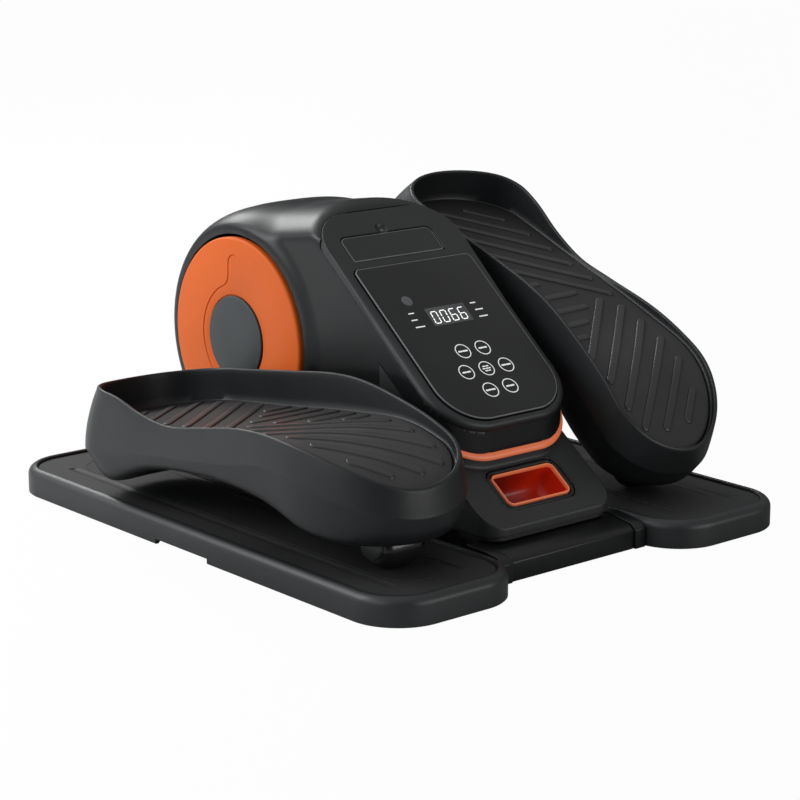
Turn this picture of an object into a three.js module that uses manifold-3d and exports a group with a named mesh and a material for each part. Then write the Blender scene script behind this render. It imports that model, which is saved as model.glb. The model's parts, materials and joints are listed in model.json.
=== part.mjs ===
// Under-desk pedal exerciser: a motor-driven twin-pedal strider that stands on the floor.
// Millimetres. Origin: centre of the footprint at floor level. +Z up, -Y towards the seated user
// (console side), +Y towards the toes, -X the user's left pedal.
// Every moving piece is its own mesh. The two pedals ride on a crank at the toe end and roll
// on the base plates at the heel end.
import * as THREE from 'three';
import { mergeVertices } from 'three/addons/utils/BufferGeometryUtils.js';
import Module from 'manifold-3d';

const wasm = await Module();
wasm.setup();

// ---------- driving dimensions ----------
const GAP = 0.3;                 // running or fitting gap between neighbouring pieces
const LENGTH = 470;              // base plates, along Y
const HALF_WIDTH = 197.8;        // outer edge of a base plate
const PLATE_INNER = 71.9;        // inner edge of a base plate
const PLATE_CORNER = 39.5;
const PLATE_UNDER = 1;           // plates stand on feet this far off the floor
const PLATE_EDGE = 17.5;         // height where the bevelled rim starts
const PLATE_TOP = 22;
const TRACK_TOP = 19.7;          // running surface of the recessed roller track
const RECESS_INSET = 8;

const CRANK_Y = 103;
const CRANK_Z = 125.5;
const CRANK_RADIUS = 59.2;       // crank axis to pedal spindle
const CRANK_ANGLE = -86;         // left spindle at rest, degrees from +Y towards +Z
const SPINDLE_REACH = 269.6;     // roller axle to spindle along the pedal
const SPINDLE_RISE = 54.2;       // and square to it
const ROLLER_RADIUS = 15;
const ROLLER_Z = TRACK_TOP + GAP + ROLLER_RADIUS;

const DISC_RADIUS = 79.3;
const DISC_FACE = 70;            // outer face of a crank disc
const HUB_RADIUS = 33.6;
const DRUM_RADIUS = 101;         // housing drum round the crank axis
const DRUM_LIP = 85;             // its radius at the side faces
const DRUM_HALF = 67;
const BODY_HALF = 65.5;
const CROWN_FALL = 8.8;          // slope of the housing's top, degrees down to the rear
const WALL = 3;

const PANEL_SLOPE = 39.1;        // control panel, degrees from level
const PANEL_Y = -108.8;          // a point on the panel's centre line
const PANEL_Z = 128.6;
const BEZEL_DROP = 1.6;          // bezel face below the panel face
const BEZEL_THICK = 6;
const POD_DEPTH = 26;            // console pod, from bezel face to trim band
const BAND_THICK = 5;
const PEDESTAL_SLOPE = 36;

const PEDAL_X = 137;             // pedal centre line
const PEDAL_HEEL = -42;          // pedal ends, measured from the roller axle
const PEDAL_TOE = 295;
const PEDAL_OUTER = 65;          // half widths on the outer and the crank side
const PEDAL_INNER = 55;
const SHELL_WALL = 3.6;
const RING_POINTS = 36;          // points round a pedal ring

// ---------- materials ----------
const finish = (color, roughness, metalness = 0) =>
  new THREE.MeshStandardMaterial({ color, roughness, metalness });
const MATERIALS = {
  body: () => finish(0x2b2d2f, 0.5),
  pedal: () => finish(0x2e3133, 0.55),
  mat: () => finish(0x262425, 0.7),
  orange: () => finish(0xe0632a, 0.45),
  well: () => finish(0x9c2408, 0.5),
  hub: () => finish(0x4b5053, 0.5),
  panel: () => finish(0x141516, 0.15),
  lens: () => finish(0x5a5c5e, 0.3),
  rubber: () => finish(0x1c1c1c, 0.9),
  steel: () => finish(0xb4b6b8, 0.35, 1),
  board: () => finish(0x1d5a34, 0.6),
};

// ---------- geometry helpers ----------
const rad = THREE.MathUtils.degToRad;

// Clean copy with position only, shared corners merged.
function bare(geometry) {
  const copy = geometry.clone();
  copy.deleteAttribute('normal');
  copy.deleteAttribute('uv');
  return mergeVertices(copy, 1e-4);
}

function toSolid(geometry) {
  const merged = bare(geometry);
  return new wasm.Manifold(new wasm.Mesh({
    numProp: 3,
    vertProperties: new Float32Array(merged.attributes.position.array),
    triVerts: new Uint32Array(merged.index.array),
  }));
}

function toGeometry(solid) {
  const mesh = solid.getMesh();
  const geometry = new THREE.BufferGeometry();
  geometry.setAttribute('position', new THREE.BufferAttribute(mesh.vertProperties, 3));
  geometry.setIndex(new THREE.BufferAttribute(mesh.triVerts, 1));
  geometry.computeVertexNormals();
  return geometry;
}

const combine = (method) => (first, ...rest) =>
  toGeometry(rest.reduce((solid, other) => solid[method](toSolid(other)), toSolid(first)));
const join = combine('add');
const cut = combine('subtract');
const overlap = combine('intersect');

function box(x0, x1, y0, y1, z0, z1) {
  const geometry = new THREE.BoxGeometry(x1 - x0, y1 - y0, z1 - z0);
  return geometry.translate((x0 + x1) / 2, (y0 + y1) / 2, (z0 + z1) / 2);
}

// Cylinder along X between two x positions, centred on (y, z).
function rod(radius, x0, x1, y, z, sides = 32) {
  const geometry = new THREE.CylinderGeometry(radius, radius, x1 - x0, sides);
  return geometry.rotateZ(-Math.PI / 2).translate((x0 + x1) / 2, y, z);
}

// Body turned round an X axis through (y, z), from [x, radius] corners that close on themselves.
function turned(profile, y, z, sides = 32) {
  const loop = [...profile, profile[0]].map(([x, r]) => new THREE.Vector2(r, x));
  const geometry = new THREE.LatheGeometry(loop, sides);
  return geometry.rotateZ(-Math.PI / 2).translate(0, y, z);
}

const ring = (outer, inner, x0, x1, y, z, sides = 28) =>
  turned([[x0, inner], [x0, outer], [x1, outer], [x1, inner]], y, z, sides);

const polygon = (points) => new THREE.Shape(points.map(([a, b]) => new THREE.Vector2(a, b)));

function slab(shape, depth, segments = 3) {
  return new THREE.ExtrudeGeometry(shape, { depth, bevelEnabled: false, curveSegments: segments });
}

// Prism of a (y, z) outline between two x positions.
function prismX(shape, x0, x1, segments = 3) {
  const toX = new THREE.Matrix4().makeBasis(
    new THREE.Vector3(0, 1, 0), new THREE.Vector3(0, 0, 1), new THREE.Vector3(1, 0, 0));
  return slab(shape, x1 - x0, segments).applyMatrix4(toX).translate(x0, 0, 0);
}

// Rounded rectangle whose four corner radii may differ: low-left, low-right, high-right, high-left.
function roundRect(x0, x1, y0, y1, [ll, lr, hr, hl]) {
  const shape = new THREE.Shape();
  const quarter = Math.PI / 2;
  shape.absarc(x1 - lr, y0 + lr, lr, -quarter, 0);
  shape.absarc(x1 - hr, y1 - hr, hr, 0, quarter);
  shape.absarc(x0 + hl, y1 - hl, hl, quarter, 2 * quarter);
  shape.absarc(x0 + ll, y0 + ll, ll, 2 * quarter, 3 * quarter);
  shape.closePath();
  return shape;
}
const evenRect = (x0, x1, y0, y1, r) => roundRect(x0, x1, y0, y1, [r, r, r, r]);

// Moves geometry drawn in the panel's plane (x across, y up the slope, z square to it) into place.
function onSlope(geometry, slope, y, z) {
  return geometry.rotateX(rad(slope)).translate(0, y, z);
}
const onPanel = (geometry) => onSlope(geometry, PANEL_SLOPE, PANEL_Y, PANEL_Z);
const panelSlab = (shape, low, high, segments = 3) =>
  onPanel(slab(shape, high - low, segments).translate(0, 0, low));

// Point on the panel's centre plane: v up the slope, n square to it.
function panelPoint(v, n) {
  const slope = rad(PANEL_SLOPE);
  return [PANEL_Y + v * Math.cos(slope) - n * Math.sin(slope),
    PANEL_Z + v * Math.sin(slope) + n * Math.cos(slope)];
}

// Smooth curve value at x through [x, value] knots (cubic Hermite).
function smooth(knots) {
  const slopeAt = (i) => {
    const before = knots[Math.max(i - 1, 0)];
    const after = knots[Math.min(i + 1, knots.length - 1)];
    return (after[1] - before[1]) / (after[0] - before[0]);
  };
  return (x) => {
    const last = knots.length - 2;
    const found = knots.findIndex((knot, i) => i > 0 && x <= knot[0]) - 1;
    const i = found < 0 ? last : Math.min(found, last);
    const width = knots[i + 1][0] - knots[i][0];
    const t = THREE.MathUtils.clamp((x - knots[i][0]) / width, 0, 1);
    const t2 = t * t;
    const t3 = t2 * t;
    return knots[i][1] * (2 * t3 - 3 * t2 + 1) + knots[i + 1][1] * (3 * t2 - 2 * t3)
      + width * (slopeAt(i) * (t3 - 2 * t2 + t) + slopeAt(i + 1) * (t3 - t2));
  };
}

// Closed skin over a stack of rings with equal point counts, first ring lowest.
// Point k and point n-k of a ring face each other across the pedal, so both ends close in strips.
function loft(rings) {
  const n = rings[0].length;
  const positions = rings.flat().flatMap((p) => [p.x, p.y, p.z]);
  const faces = [];
  for (let level = 0; level + 1 < rings.length; level += 1) {
    for (let k = 0; k < n; k += 1) {
      const a = level * n + k;
      const b = level * n + (k + 1) % n;
      faces.push(a, b, b + n, a, b + n, a + n);
    }
  }
  const top = (rings.length - 1) * n;
  for (let k = 0; k < n / 2; k += 1) {
    const [here, next, nextFacing, facing] = [k, k + 1, n - k - 1, n - k];
    if (next !== nextFacing) {
      faces.push(here, nextFacing, next, top + here, top + next, top + nextFacing);
    }
    if (k > 0) faces.push(here, facing, nextFacing, top + here, top + nextFacing, top + facing);
  }
  const geometry = new THREE.BufferGeometry();
  geometry.setAttribute('position', new THREE.Float32BufferAttribute(positions, 3));
  geometry.setIndex(faces);
  return geometry;
}

function mirrored(geometry) {
  const copy = bare(geometry);
  copy.scale(-1, 1, 1);
  const index = copy.index.array;
  for (let i = 0; i < index.length; i += 3) [index[i], index[i + 1]] = [index[i + 1], index[i]];
  return copy;
}

// ---------- the assembly ----------
const exerciser = new THREE.Group();

function add(name, geometry, material, parent = exerciser) {
  const mesh = new THREE.Mesh(geometry, MATERIALS[material]());
  mesh.name = name;
  parent.add(mesh);
  return mesh;
}

const SIDES = [['left', -1], ['right', 1]];
// Geometry drawn for the +X side, placed on the named side.
const onSide = (geometry, side) => (side < 0 ? mirrored(geometry) : geometry);

// ----- base -----
function plateOutline(inset, corner = PLATE_CORNER) {
  const half = LENGTH / 2 - inset;
  return evenRect(PLATE_INNER + inset, HALF_WIDTH - inset, -half, half, corner - inset);
}

function basePlate() {
  const skirt = slab(plateOutline(0), PLATE_EDGE - PLATE_UNDER).translate(0, 0, PLATE_UNDER);
  const bevel = [[1.2, 2.2], [4.5, PLATE_TOP - PLATE_EDGE]].map(([inset, rise]) =>
    slab(plateOutline(inset), rise + 1).translate(0, 0, PLATE_EDGE - 1));
  const recess = slab(plateOutline(RECESS_INSET), 10).translate(0, 0, TRACK_TOP - 2 - GAP);
  const pocket = slab(plateOutline(5), 13).translate(0, 0, -1);
  const notch = box(HALF_WIDTH - 8, HALF_WIDTH + 1, -31, 33, 0, 5);
  return cut(join(skirt, ...bevel), recess, pocket, notch);
}

function trackInsert() {
  const sheet = slab(plateOutline(RECESS_INSET + GAP), 2).translate(0, 0, TRACK_TOP - 2);
  const grooves = [-1, 1].map((s) =>
    slab(evenRect(PEDAL_X + 27 * s - 2, PEDAL_X + 27 * s + 2, -190, 190, 1.9), 3)
      .translate(0, 0, TRACK_TOP - 1));
  return cut(sheet, ...grooves);
}

// Rubber foot let into the underside pocket, standing 1 mm below the plate's edge.
function foot(x, y) {
  const shape = new THREE.Shape().absarc(x, y, 11, 0, 2 * Math.PI);
  return slab(shape, 12 - GAP, 4);
}

function barOutline(grow, rear) {
  return polygon([[-203 - grow, 1], [-203 - grow, 15.5], [-199, 18.5 + grow],
    [-178, 22 + grow / 2], [rear, 22 + grow / 2], [rear, 1]]);
}

for (const [name, side] of SIDES) {
  add(`${name}_base_plate`, onSide(basePlate(), side), 'body');
  add(`${name}_track`, onSide(trackInsert(), side), 'body');
  for (const [end, y] of [['front', -190], ['rear', 190]]) {
    for (const [edge, x] of [['inner', 100], ['outer', 170]]) {
      add(`${name}_${end}_${edge}_foot`, onSide(foot(x, y), side), 'rubber');
    }
  }
  add(`${name}_bar_collar`, onSide(prismX(barOutline(1.4, -168), 60.9, 71.4), side), 'body');
}
add('front_cross_bar', prismX(barOutline(0, -168), -60.6, 60.6), 'body');
add('rear_cross_bar', prismX(polygon([[178.5, 1], [178.5, 20], [198, 20], [204, 15], [204, 1]]),
  -71.4, 71.4), 'body');

// ----- chassis with the crank bearings -----
const UPRIGHT = 42;              // middle of a bearing upright
const SHAFT_RADIUS = 9;
const BEARING_RADIUS = 19;

function chassis() {
  const deck = box(-56, 56, -166, 171, 3, 8);
  const uprights = [-1, 1].map((s) => {
    const plate = polygon([[55, 6], [151, 6], [CRANK_Y + 26, CRANK_Z + 14],
      [CRANK_Y, CRANK_Z + 26], [CRANK_Y - 26, CRANK_Z + 14]]);
    const web = prismX(plate, UPRIGHT * s - 3, UPRIGHT * s + 3);
    return cut(web, rod(BEARING_RADIUS + GAP, UPRIGHT * s - 5, UPRIGHT * s + 5, CRANK_Y, CRANK_Z));
  });
  return join(deck, ...uprights);
}
add('chassis_frame', chassis(), 'steel');
for (const [name, side] of SIDES) {
  add(`${name}_bearing`, onSide(ring(BEARING_RADIUS - 0.02, SHAFT_RADIUS + GAP,
    UPRIGHT - 5, UPRIGHT + 5, CRANK_Y, CRANK_Z), side), 'steel');
}

// ----- crank -----
add('crank_shaft', rod(SHAFT_RADIUS, -(DISC_FACE - 6.3), DISC_FACE - 6.3, CRANK_Y, CRANK_Z), 'steel');
const PULLEY_X = 14;
const PULLEY_RADIUS = 62;
const MOTOR_Y = -12;
const MOTOR_Z = 62;
const MOTOR_PULLEY_RADIUS = 13;

function pulley(radius, bore, y, z) {
  const rim = radius + 2;
  return turned([[PULLEY_X - 7, bore], [PULLEY_X - 7, rim], [PULLEY_X - 5.5, rim],
    [PULLEY_X - 5.5, radius], [PULLEY_X + 5.5, radius], [PULLEY_X + 5.5, rim],
    [PULLEY_X + 7, rim], [PULLEY_X + 7, bore]], y, z);
}
add('drive_pulley', pulley(PULLEY_RADIUS, SHAFT_RADIUS + GAP, CRANK_Y, CRANK_Z), 'body');
for (const [name, side] of SIDES) {
  const edge = DISC_FACE - 1.6;
  const disc = turned([[DISC_FACE - 6, 0], [DISC_FACE - 6, DISC_RADIUS], [edge, DISC_RADIUS],
    [DISC_FACE, DISC_RADIUS - 1.6], [DISC_FACE, HUB_RADIUS + 0.8], [DISC_FACE - 1.5, HUB_RADIUS + 0.8],
    [DISC_FACE - 1.5, 0]], CRANK_Y, CRANK_Z, 48);
  add(`${name}_crank_disc`, onSide(disc, side), 'orange');
  const cap = turned([[DISC_FACE - 1.2, 0], [DISC_FACE - 1.2, HUB_RADIUS],
    [DISC_FACE + 0.4, HUB_RADIUS], [DISC_FACE + 1, HUB_RADIUS - 0.8], [DISC_FACE + 1, 0]],
  CRANK_Y, CRANK_Z, 36);
  add(`${name}_hub_cap`, onSide(cap, side), 'hub');
}

// ----- motor and belt -----
add('motor', join(rod(30, -50, 5, MOTOR_Y, MOTOR_Z), rod(4, 4, 24, MOTOR_Y, MOTOR_Z, 16),
  box(-44, -2, MOTOR_Y - 24, MOTOR_Y + 24, 8 + GAP, MOTOR_Z - 20)), 'steel');
add('motor_pulley', pulley(MOTOR_PULLEY_RADIUS, 4 + GAP, MOTOR_Y, MOTOR_Z), 'body');

// Open belt run round two pulleys, as an outline of tangents and arcs.
function beltOutline(grow) {
  const span = Math.hypot(CRANK_Y - MOTOR_Y, CRANK_Z - MOTOR_Z);
  const line = Math.atan2(CRANK_Z - MOTOR_Z, CRANK_Y - MOTOR_Y);
  const lean = Math.acos((PULLEY_RADIUS - MOTOR_PULLEY_RADIUS) / span);
  const shape = new THREE.Shape();
  shape.absarc(CRANK_Y, CRANK_Z, PULLEY_RADIUS + grow, line - Math.PI + lean, line + Math.PI - lean);
  shape.absarc(MOTOR_Y, MOTOR_Z, MOTOR_PULLEY_RADIUS + grow, line + Math.PI - lean,
    line + Math.PI + lean);
  shape.closePath();
  return shape;
}
add('drive_belt', cut(prismX(beltOutline(1.6), PULLEY_X - 5, PULLEY_X + 5, 12),
  prismX(beltOutline(GAP), PULLEY_X - 6, PULLEY_X + 6, 12)), 'rubber');

// ----- housing -----
// Console pod outline in the panel's plane, seen square on.
const POD_LOW = -49.2;
const podOutline = (inset, top, topCorner) =>
  roundRect(-BODY_HALF + inset, BODY_HALF - inset, POD_LOW + inset, top - inset,
    [42 - inset, 42 - inset, topCorner, topCorner]);

// Long bar with rounded shoulders that trims the top of the housing, sloping down to the rear.
function crown(inset) {
  const half = BODY_HALF - inset;
  const shape = new THREE.Shape();
  shape.moveTo(-half, -400);
  shape.lineTo(half, -400);
  shape.absellipse(half - 25, -16, 25, 16, 0, Math.PI / 2, false);
  shape.absellipse(-half + 25, -16, 25, 16, Math.PI / 2, Math.PI, false);
  shape.closePath();
  return slab(shape, 700, 2).rotateX(Math.PI / 2).translate(0, 350, 0).rotateX(rad(-CROWN_FALL))
    .translate(0, 20, 240.5 - inset);
}

// Outer form of the housing, inset by a wall thickness: drum, sloping console and lower sides.
function housingForm(inset) {
  const lip = [];
  for (let k = 0; k <= 3; k += 1) {
    const a = (k / 3) * Math.PI / 2;
    lip.push([DRUM_HALF - 25 + 25 * Math.sin(a) - inset,
      DRUM_RADIUS - (DRUM_RADIUS - DRUM_LIP) * (1 - Math.cos(a)) - inset]);
  }
  const half = [[0, DRUM_RADIUS - inset], ...lip];
  const drum = turned([[-half.at(-1)[0], 0], ...half.slice(1).reverse().map(([x, r]) => [-x, r]),
    ...half.slice(1), [half.at(-1)[0], 0]], CRANK_Y, CRANK_Z, 40);
  const face = -BEZEL_DROP - inset;
  const [frontY, frontZ] = panelPoint(-70, face);
  const [crestY, crestZ] = panelPoint(168, face);
  const floor = -BEZEL_DROP - POD_DEPTH + inset;
  const [noseY, noseZ] = panelPoint(-70, floor);
  const legY = -64 + inset;
  const run = (legY - PANEL_Y + floor * Math.sin(rad(PANEL_SLOPE))) / Math.cos(rad(PANEL_SLOPE));
  const side = polygon([[frontY, frontZ], [noseY, noseZ], panelPoint(run, floor), [legY, 8 + GAP + inset],
    [172 - inset, 8 + GAP + inset], [178 - inset, 60], [CRANK_Y + 40, CRANK_Z],
    [CRANK_Y + 10, CRANK_Z + DRUM_RADIUS - 1 - inset], [62, 234 - inset], [38, 238.5 - inset],
    [crestY, crestZ]]);
  const block = overlap(prismX(side, -BODY_HALF + inset, BODY_HALF - inset), crown(inset));
  const plan = panelSlab(podOutline(inset, 420, 5), -300, 60, 5);
  return join(overlap(block, plan), overlap(drum, box(-90, 90, -50, 300, 8 + GAP, 300)));
}

const bezelOutline = podOutline(0, 163, 34);
const PANEL_TOP = 107.5;
const DOOR = { half: 42, low: 117, high: 140 };
const TRUNNION_RADIUS = 0.9;
const hingeLine = panelPoint(DOOR.low + 1.2, -BEZEL_DROP - 1.55);

function housing() {
  const hollow = housingForm(WALL);
  const bezelSeat = panelSlab(podOutline(-1, 163 + GAP, 34 + GAP),
    -BEZEL_DROP - BEZEL_THICK - GAP, 40, 5);
  const discHoles = rod(DISC_RADIUS + 1.8, -90, 90, CRANK_Y, CRANK_Z, 48);
  const floorHole = box(-56, 56, -61, 168, 0, 20);
  const inletHole = box(-16 - GAP, 34 + GAP, 150, 215, 44 - GAP, 72 + GAP);
  const nosePassage = panelSlab(evenRect(-50, 50, -30, 90, 5), -60, -10);
  return cut(housingForm(0), hollow, bezelSeat, discHoles, floorHole, inletHole, nosePassage);
}
add('housing_shell', housing(), 'body');

function bezel() {
  const plate = panelSlab(bezelOutline, -BEZEL_DROP - BEZEL_THICK, -BEZEL_DROP, 5);
  const panelSeat = panelSlab(roundRect(-57.6, 57.6, -43.4, PANEL_TOP + 0.6, [35, 35, 6, 6]),
    -BEZEL_DROP - 2.4, 5);
  const window = panelSlab(evenRect(-48, 48, -20, 98, 6), -20, 5);
  const doorSeat = panelSlab(doorOutline(0.8), -BEZEL_DROP - 3.6, 5);
  const trayHole = panelSlab(evenRect(-37, 37, DOOR.low + 4, DOOR.high - 2, 5), -20, 5);
  const trunnionBore = rod(TRUNNION_RADIUS + GAP, -DOOR.half - 2.2, DOOR.half + 2.2, ...hingeLine, 12);
  return cut(plate, panelSeat, window, doorSeat, trayHole, trunnionBore);
}

// Door outline with chamfered upper corners and a small finger notch.
function doorOutline(grow) {
  const { half, low, high } = DOOR;
  const h = half + grow;
  return polygon([[-h, low - grow], [h, low - grow], [h - 1, high - 9], [h - 9, high + grow],
    [-h + 9, high + grow], [-h + 1, high - 9]]);
}
add('console_bezel', bezel(), 'body');
add('control_panel', panelSlab(roundRect(-57, 57, -42.8, PANEL_TOP, [34.4, 34.4, 5.4, 5.4]),
  -BEZEL_DROP - 2.1, 0, 5), 'panel');
add('display_module', panelSlab(evenRect(-19, 19, 44.9, 61.9, 1), -9, -BEZEL_DROP - 2.4), 'panel');
add('sensor_lens', onPanel(new THREE.CylinderGeometry(3.6, 3.6, 5, 20).rotateX(Math.PI / 2)
  .translate(-28.8, 71.7, -6.5)), 'lens');
add('control_board', panelSlab(evenRect(-44, 44, -16, 94, 3), -12.6, -11), 'board');

// Open tray below the door, hung under the bezel.
const trayTop = -BEZEL_DROP - BEZEL_THICK - GAP;
add('remote_tray', cut(
  panelSlab(evenRect(-39.5, 39.5, DOOR.low + 1.5, DOOR.high + 0.5, 5), trayTop - 22, trayTop),
  panelSlab(evenRect(-37, 37, DOOR.low + 4, DOOR.high - 2, 4), trayTop - 20, 5)), 'body');

const doorPlate = panelSlab(doorOutline(0), -BEZEL_DROP - 2.7, -BEZEL_DROP - 0.4);
const fingerNotch = onPanel(new THREE.SphereGeometry(5, 16, 10).translate(-4, DOOR.high - 0.5, 1.2));
const trunnions = rod(TRUNNION_RADIUS, -DOOR.half - 1.9, DOOR.half + 1.9, ...hingeLine, 12);
add('compartment_door', cut(join(doorPlate, trunnions), fingerNotch), 'body');

// ----- trim band and pedestal -----
const bandLow = -BEZEL_DROP - POD_DEPTH - GAP - BAND_THICK;
add('console_trim_band', cut(
  panelSlab(podOutline(-0.6, 30, 1), bandLow, bandLow + BAND_THICK, 5),
  panelSlab(podOutline(5, 60, 1), bandLow - 1, bandLow + BAND_THICK + 1, 10)), 'orange');

const LIP_Y = -186;
const LIP_Z = 30.5;
const pedestalRise = Math.tan(rad(PEDESTAL_SLOPE));
const pedestalZ = (y) => LIP_Z + (y - LIP_Y) * pedestalRise;
const HANDLE = { half: 27, low: 24.5, high: 47 };   // along the slope, from the lip

const slotOutline = (grow, corner) =>
  evenRect(-HANDLE.half - grow, HANDLE.half + grow, HANDLE.low - grow, HANDLE.high + grow, corner);

const onPedestal = (geometry) => onSlope(geometry, PEDESTAL_SLOPE, LIP_Y, LIP_Z);
const pedestalSlab = (shape, low, high, segments = 3) =>
  onPedestal(slab(shape, high - low, segments).translate(0, 0, low));

function pedestalForm(inset) {
  const rear = -64 - GAP;
  const openFloor = inset ? 10 : 0;
  const side = polygon([[LIP_Y + inset, 22.9 - openFloor], [rear - inset, 8 + GAP - openFloor],
    [rear - inset, pedestalZ(rear) - inset * 1.3], [LIP_Y + inset, LIP_Z - inset]]);
  const plan = slab(roundRect(-59 + inset, 59 - inset, LIP_Y + inset, -40, [16, 16, 1, 1]), 200, 8);
  return overlap(prismX(side, -59 + inset, 59 - inset), plan);
}

function pedestal() {
  const underBar = prismX(polygon([[-190, 0], [-190, 22.6], [-166, 22.6], [-166, 8.3], [-63, 8.3],
    [-63, 0]]), -80, 80);
  const opening = pedestalSlab(slotOutline(3 + GAP, 6), -60, 20);
  const bandSeat = panelSlab(podOutline(-0.9, 200, 1), bandLow - GAP, 60, 5);
  return cut(pedestalForm(0), pedestalForm(WALL), underBar, opening, bandSeat);
}
add('pedestal_cover', pedestal(), 'body');
add('handle_rim', cut(pedestalSlab(slotOutline(3, 5.7), -WALL, 1),
  pedestalSlab(slotOutline(0, 3.5), -10, 10)), 'orange');
add('handle_well', cut(pedestalSlab(slotOutline(2, 5), -17, -WALL - GAP),
  pedestalSlab(slotOutline(0, 3.5), -15, 10)), 'well');

// ----- power entry at the back -----
const INLET_Y = 176;
add('power_inlet', cut(box(-16, 34, INLET_Y - 22, INLET_Y + 4, 44, 72),
  rod(6, -8, 2, INLET_Y + 3, 58, 20), box(10, 30, INLET_Y - 14, INLET_Y + 10, 48, 68)), 'body');
const rocker = new THREE.Group();
rocker.position.set(20, INLET_Y + 1.5, 58);
rocker.rotation.x = rad(-7);
exerciser.add(rocker);
add('power_rocker', box(-9.4, 9.4, -9, 4, -8.4, 8.4), 'rubber', rocker);
add('power_board', box(-38, 38, 100, 146, 14, 16), 'board');

// ----- pedals -----
const rimOuter = smooth([[-42, 39.5], [-17, 59], [15, 74], [50, 81], [86, 82.5], [137, 76], [171, 73],
  [204, 81], [236, 92.5], [270, 98.5], [295, 96]]);
const rimInner = smooth([[-42, 39.5], [-17, 56], [15, 74], [50, 88], [86, 97.5], [120, 101],
  [171, 99.5], [236, 98], [295, 96]]);
const creaseHeight = smooth([[-42, 23.5], [-33, 30], [-8, 41], [46, 59], [107, 55], [197, 52],
  [281, 47], [295, 46]]);
const soleHeight = smooth([[-42, 10], [-8, 14], [14, 16.6], [35, 21], [57, 26.5], [79, 30.7],
  [114, 34.8], [150, 36.8], [187, 36.6], [213, 34.6], [240, 30], [274, 23], [295, 24]]);
const bedHeight = smooth([[-42, 34], [-17, 53], [15, 67.5], [50, 74.5], [100, 74], [171, 69],
  [236, 67], [295, 64]]);

// Share of the half width that is left at y, where the heel and toe round off.
function endRound(y, heel, toe) {
  const round = (distance, radius) => (distance >= radius ? 1
    : Math.sqrt(Math.max(0, 1 - (1 - distance / radius) ** 2)));
  return round(y - heel, 75) * round(toe - y, 45);
}

// One ring of the pedal. inset moves it inwards, height gives z from (y, outer side?).
function pedalRing(inset, height, bulge = 0) {
  const points = [];
  for (let k = 0; k < RING_POINTS; k += 1) {
    const outer = k <= RING_POINTS / 2;
    const step = outer ? k : RING_POINTS - k;
    const heel = PEDAL_HEEL + inset;
    const toe = PEDAL_TOE - inset + bulge;
    const share = (1 - Math.cos((step / (RING_POINTS / 2)) * Math.PI)) / 2;
    const y = heel + (toe - heel) * share;
    const half = (outer ? PEDAL_OUTER : PEDAL_INNER) - inset + bulge * 0.12;
    const x = (outer ? 1 : -1) * half * endRound(y, heel, toe);
    points.push(new THREE.Vector3(x, y, height(y, x)));
  }
  return points;
}

// Rim height eases from the outer curve to the crank-side curve round the ends.
function rimHeight(y, x) {
  const mix = THREE.MathUtils.smoothstep(x, -PEDAL_INNER * 0.6, PEDAL_OUTER * 0.6);
  return rimInner(y) * (1 - mix) + rimOuter(y) * mix;
}

function pedalShell() {
  const outer = [
    pedalRing(20, (y) => soleHeight(y) - 1),
    pedalRing(11, (y) => soleHeight(y)),
    pedalRing(4, (y) => soleHeight(y) + 4),
    pedalRing(0.5, (y) => soleHeight(y) + 10, 4),
    pedalRing(0, (y) => creaseHeight(y), 5),
    pedalRing(0, (y, x) => rimHeight(y, x) - 1.2),
    pedalRing(1, (y, x) => rimHeight(y, x)),
    pedalRing(SHELL_WALL - 1, (y, x) => rimHeight(y, x)),
    pedalRing(SHELL_WALL, (y, x) => rimHeight(y, x) - 1.2),
    pedalRing(SHELL_WALL + 1.2, (y) => creaseHeight(y), 8),
    pedalRing(8, (y) => soleHeight(y) + 9),
    pedalRing(20, (y) => soleHeight(y) + 4),
  ];
  const shell = loft(outer);
  const spindleBore = rod(9 + GAP, -90, -36, SPINDLE_REACH, SPINDLE_RISE, 24);
  const rollerWindow = box(-17, 17, -17, 17, -30, 26);
  return cut(shell, spindleBore, rollerWindow);
}

function pedalFootbed() {
  const edge = SHELL_WALL + 2.4;
  return loft([
    pedalRing(edge + 1, (y) => bedHeight(y) - 4),
    pedalRing(edge, (y) => bedHeight(y) - 3),
    pedalRing(edge, (y) => bedHeight(y) - 0.8),
    pedalRing(edge + 1.2, (y) => bedHeight(y)),
  ]);
}

// Where the linkage puts the pedal for a crank angle: roller axle y, and pedal tilt.
function pedalPlace(angle) {
  const pinY = CRANK_Y + CRANK_RADIUS * Math.cos(rad(angle));
  const pinZ = CRANK_Z + CRANK_RADIUS * Math.sin(rad(angle));
  const rodLength = Math.hypot(SPINDLE_REACH, SPINDLE_RISE);
  const lift = Math.asin((pinZ - ROLLER_Z) / rodLength);
  return { y: pinY - rodLength * Math.cos(lift), tilt: lift - Math.atan2(SPINDLE_RISE, SPINDLE_REACH) };
}

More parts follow.
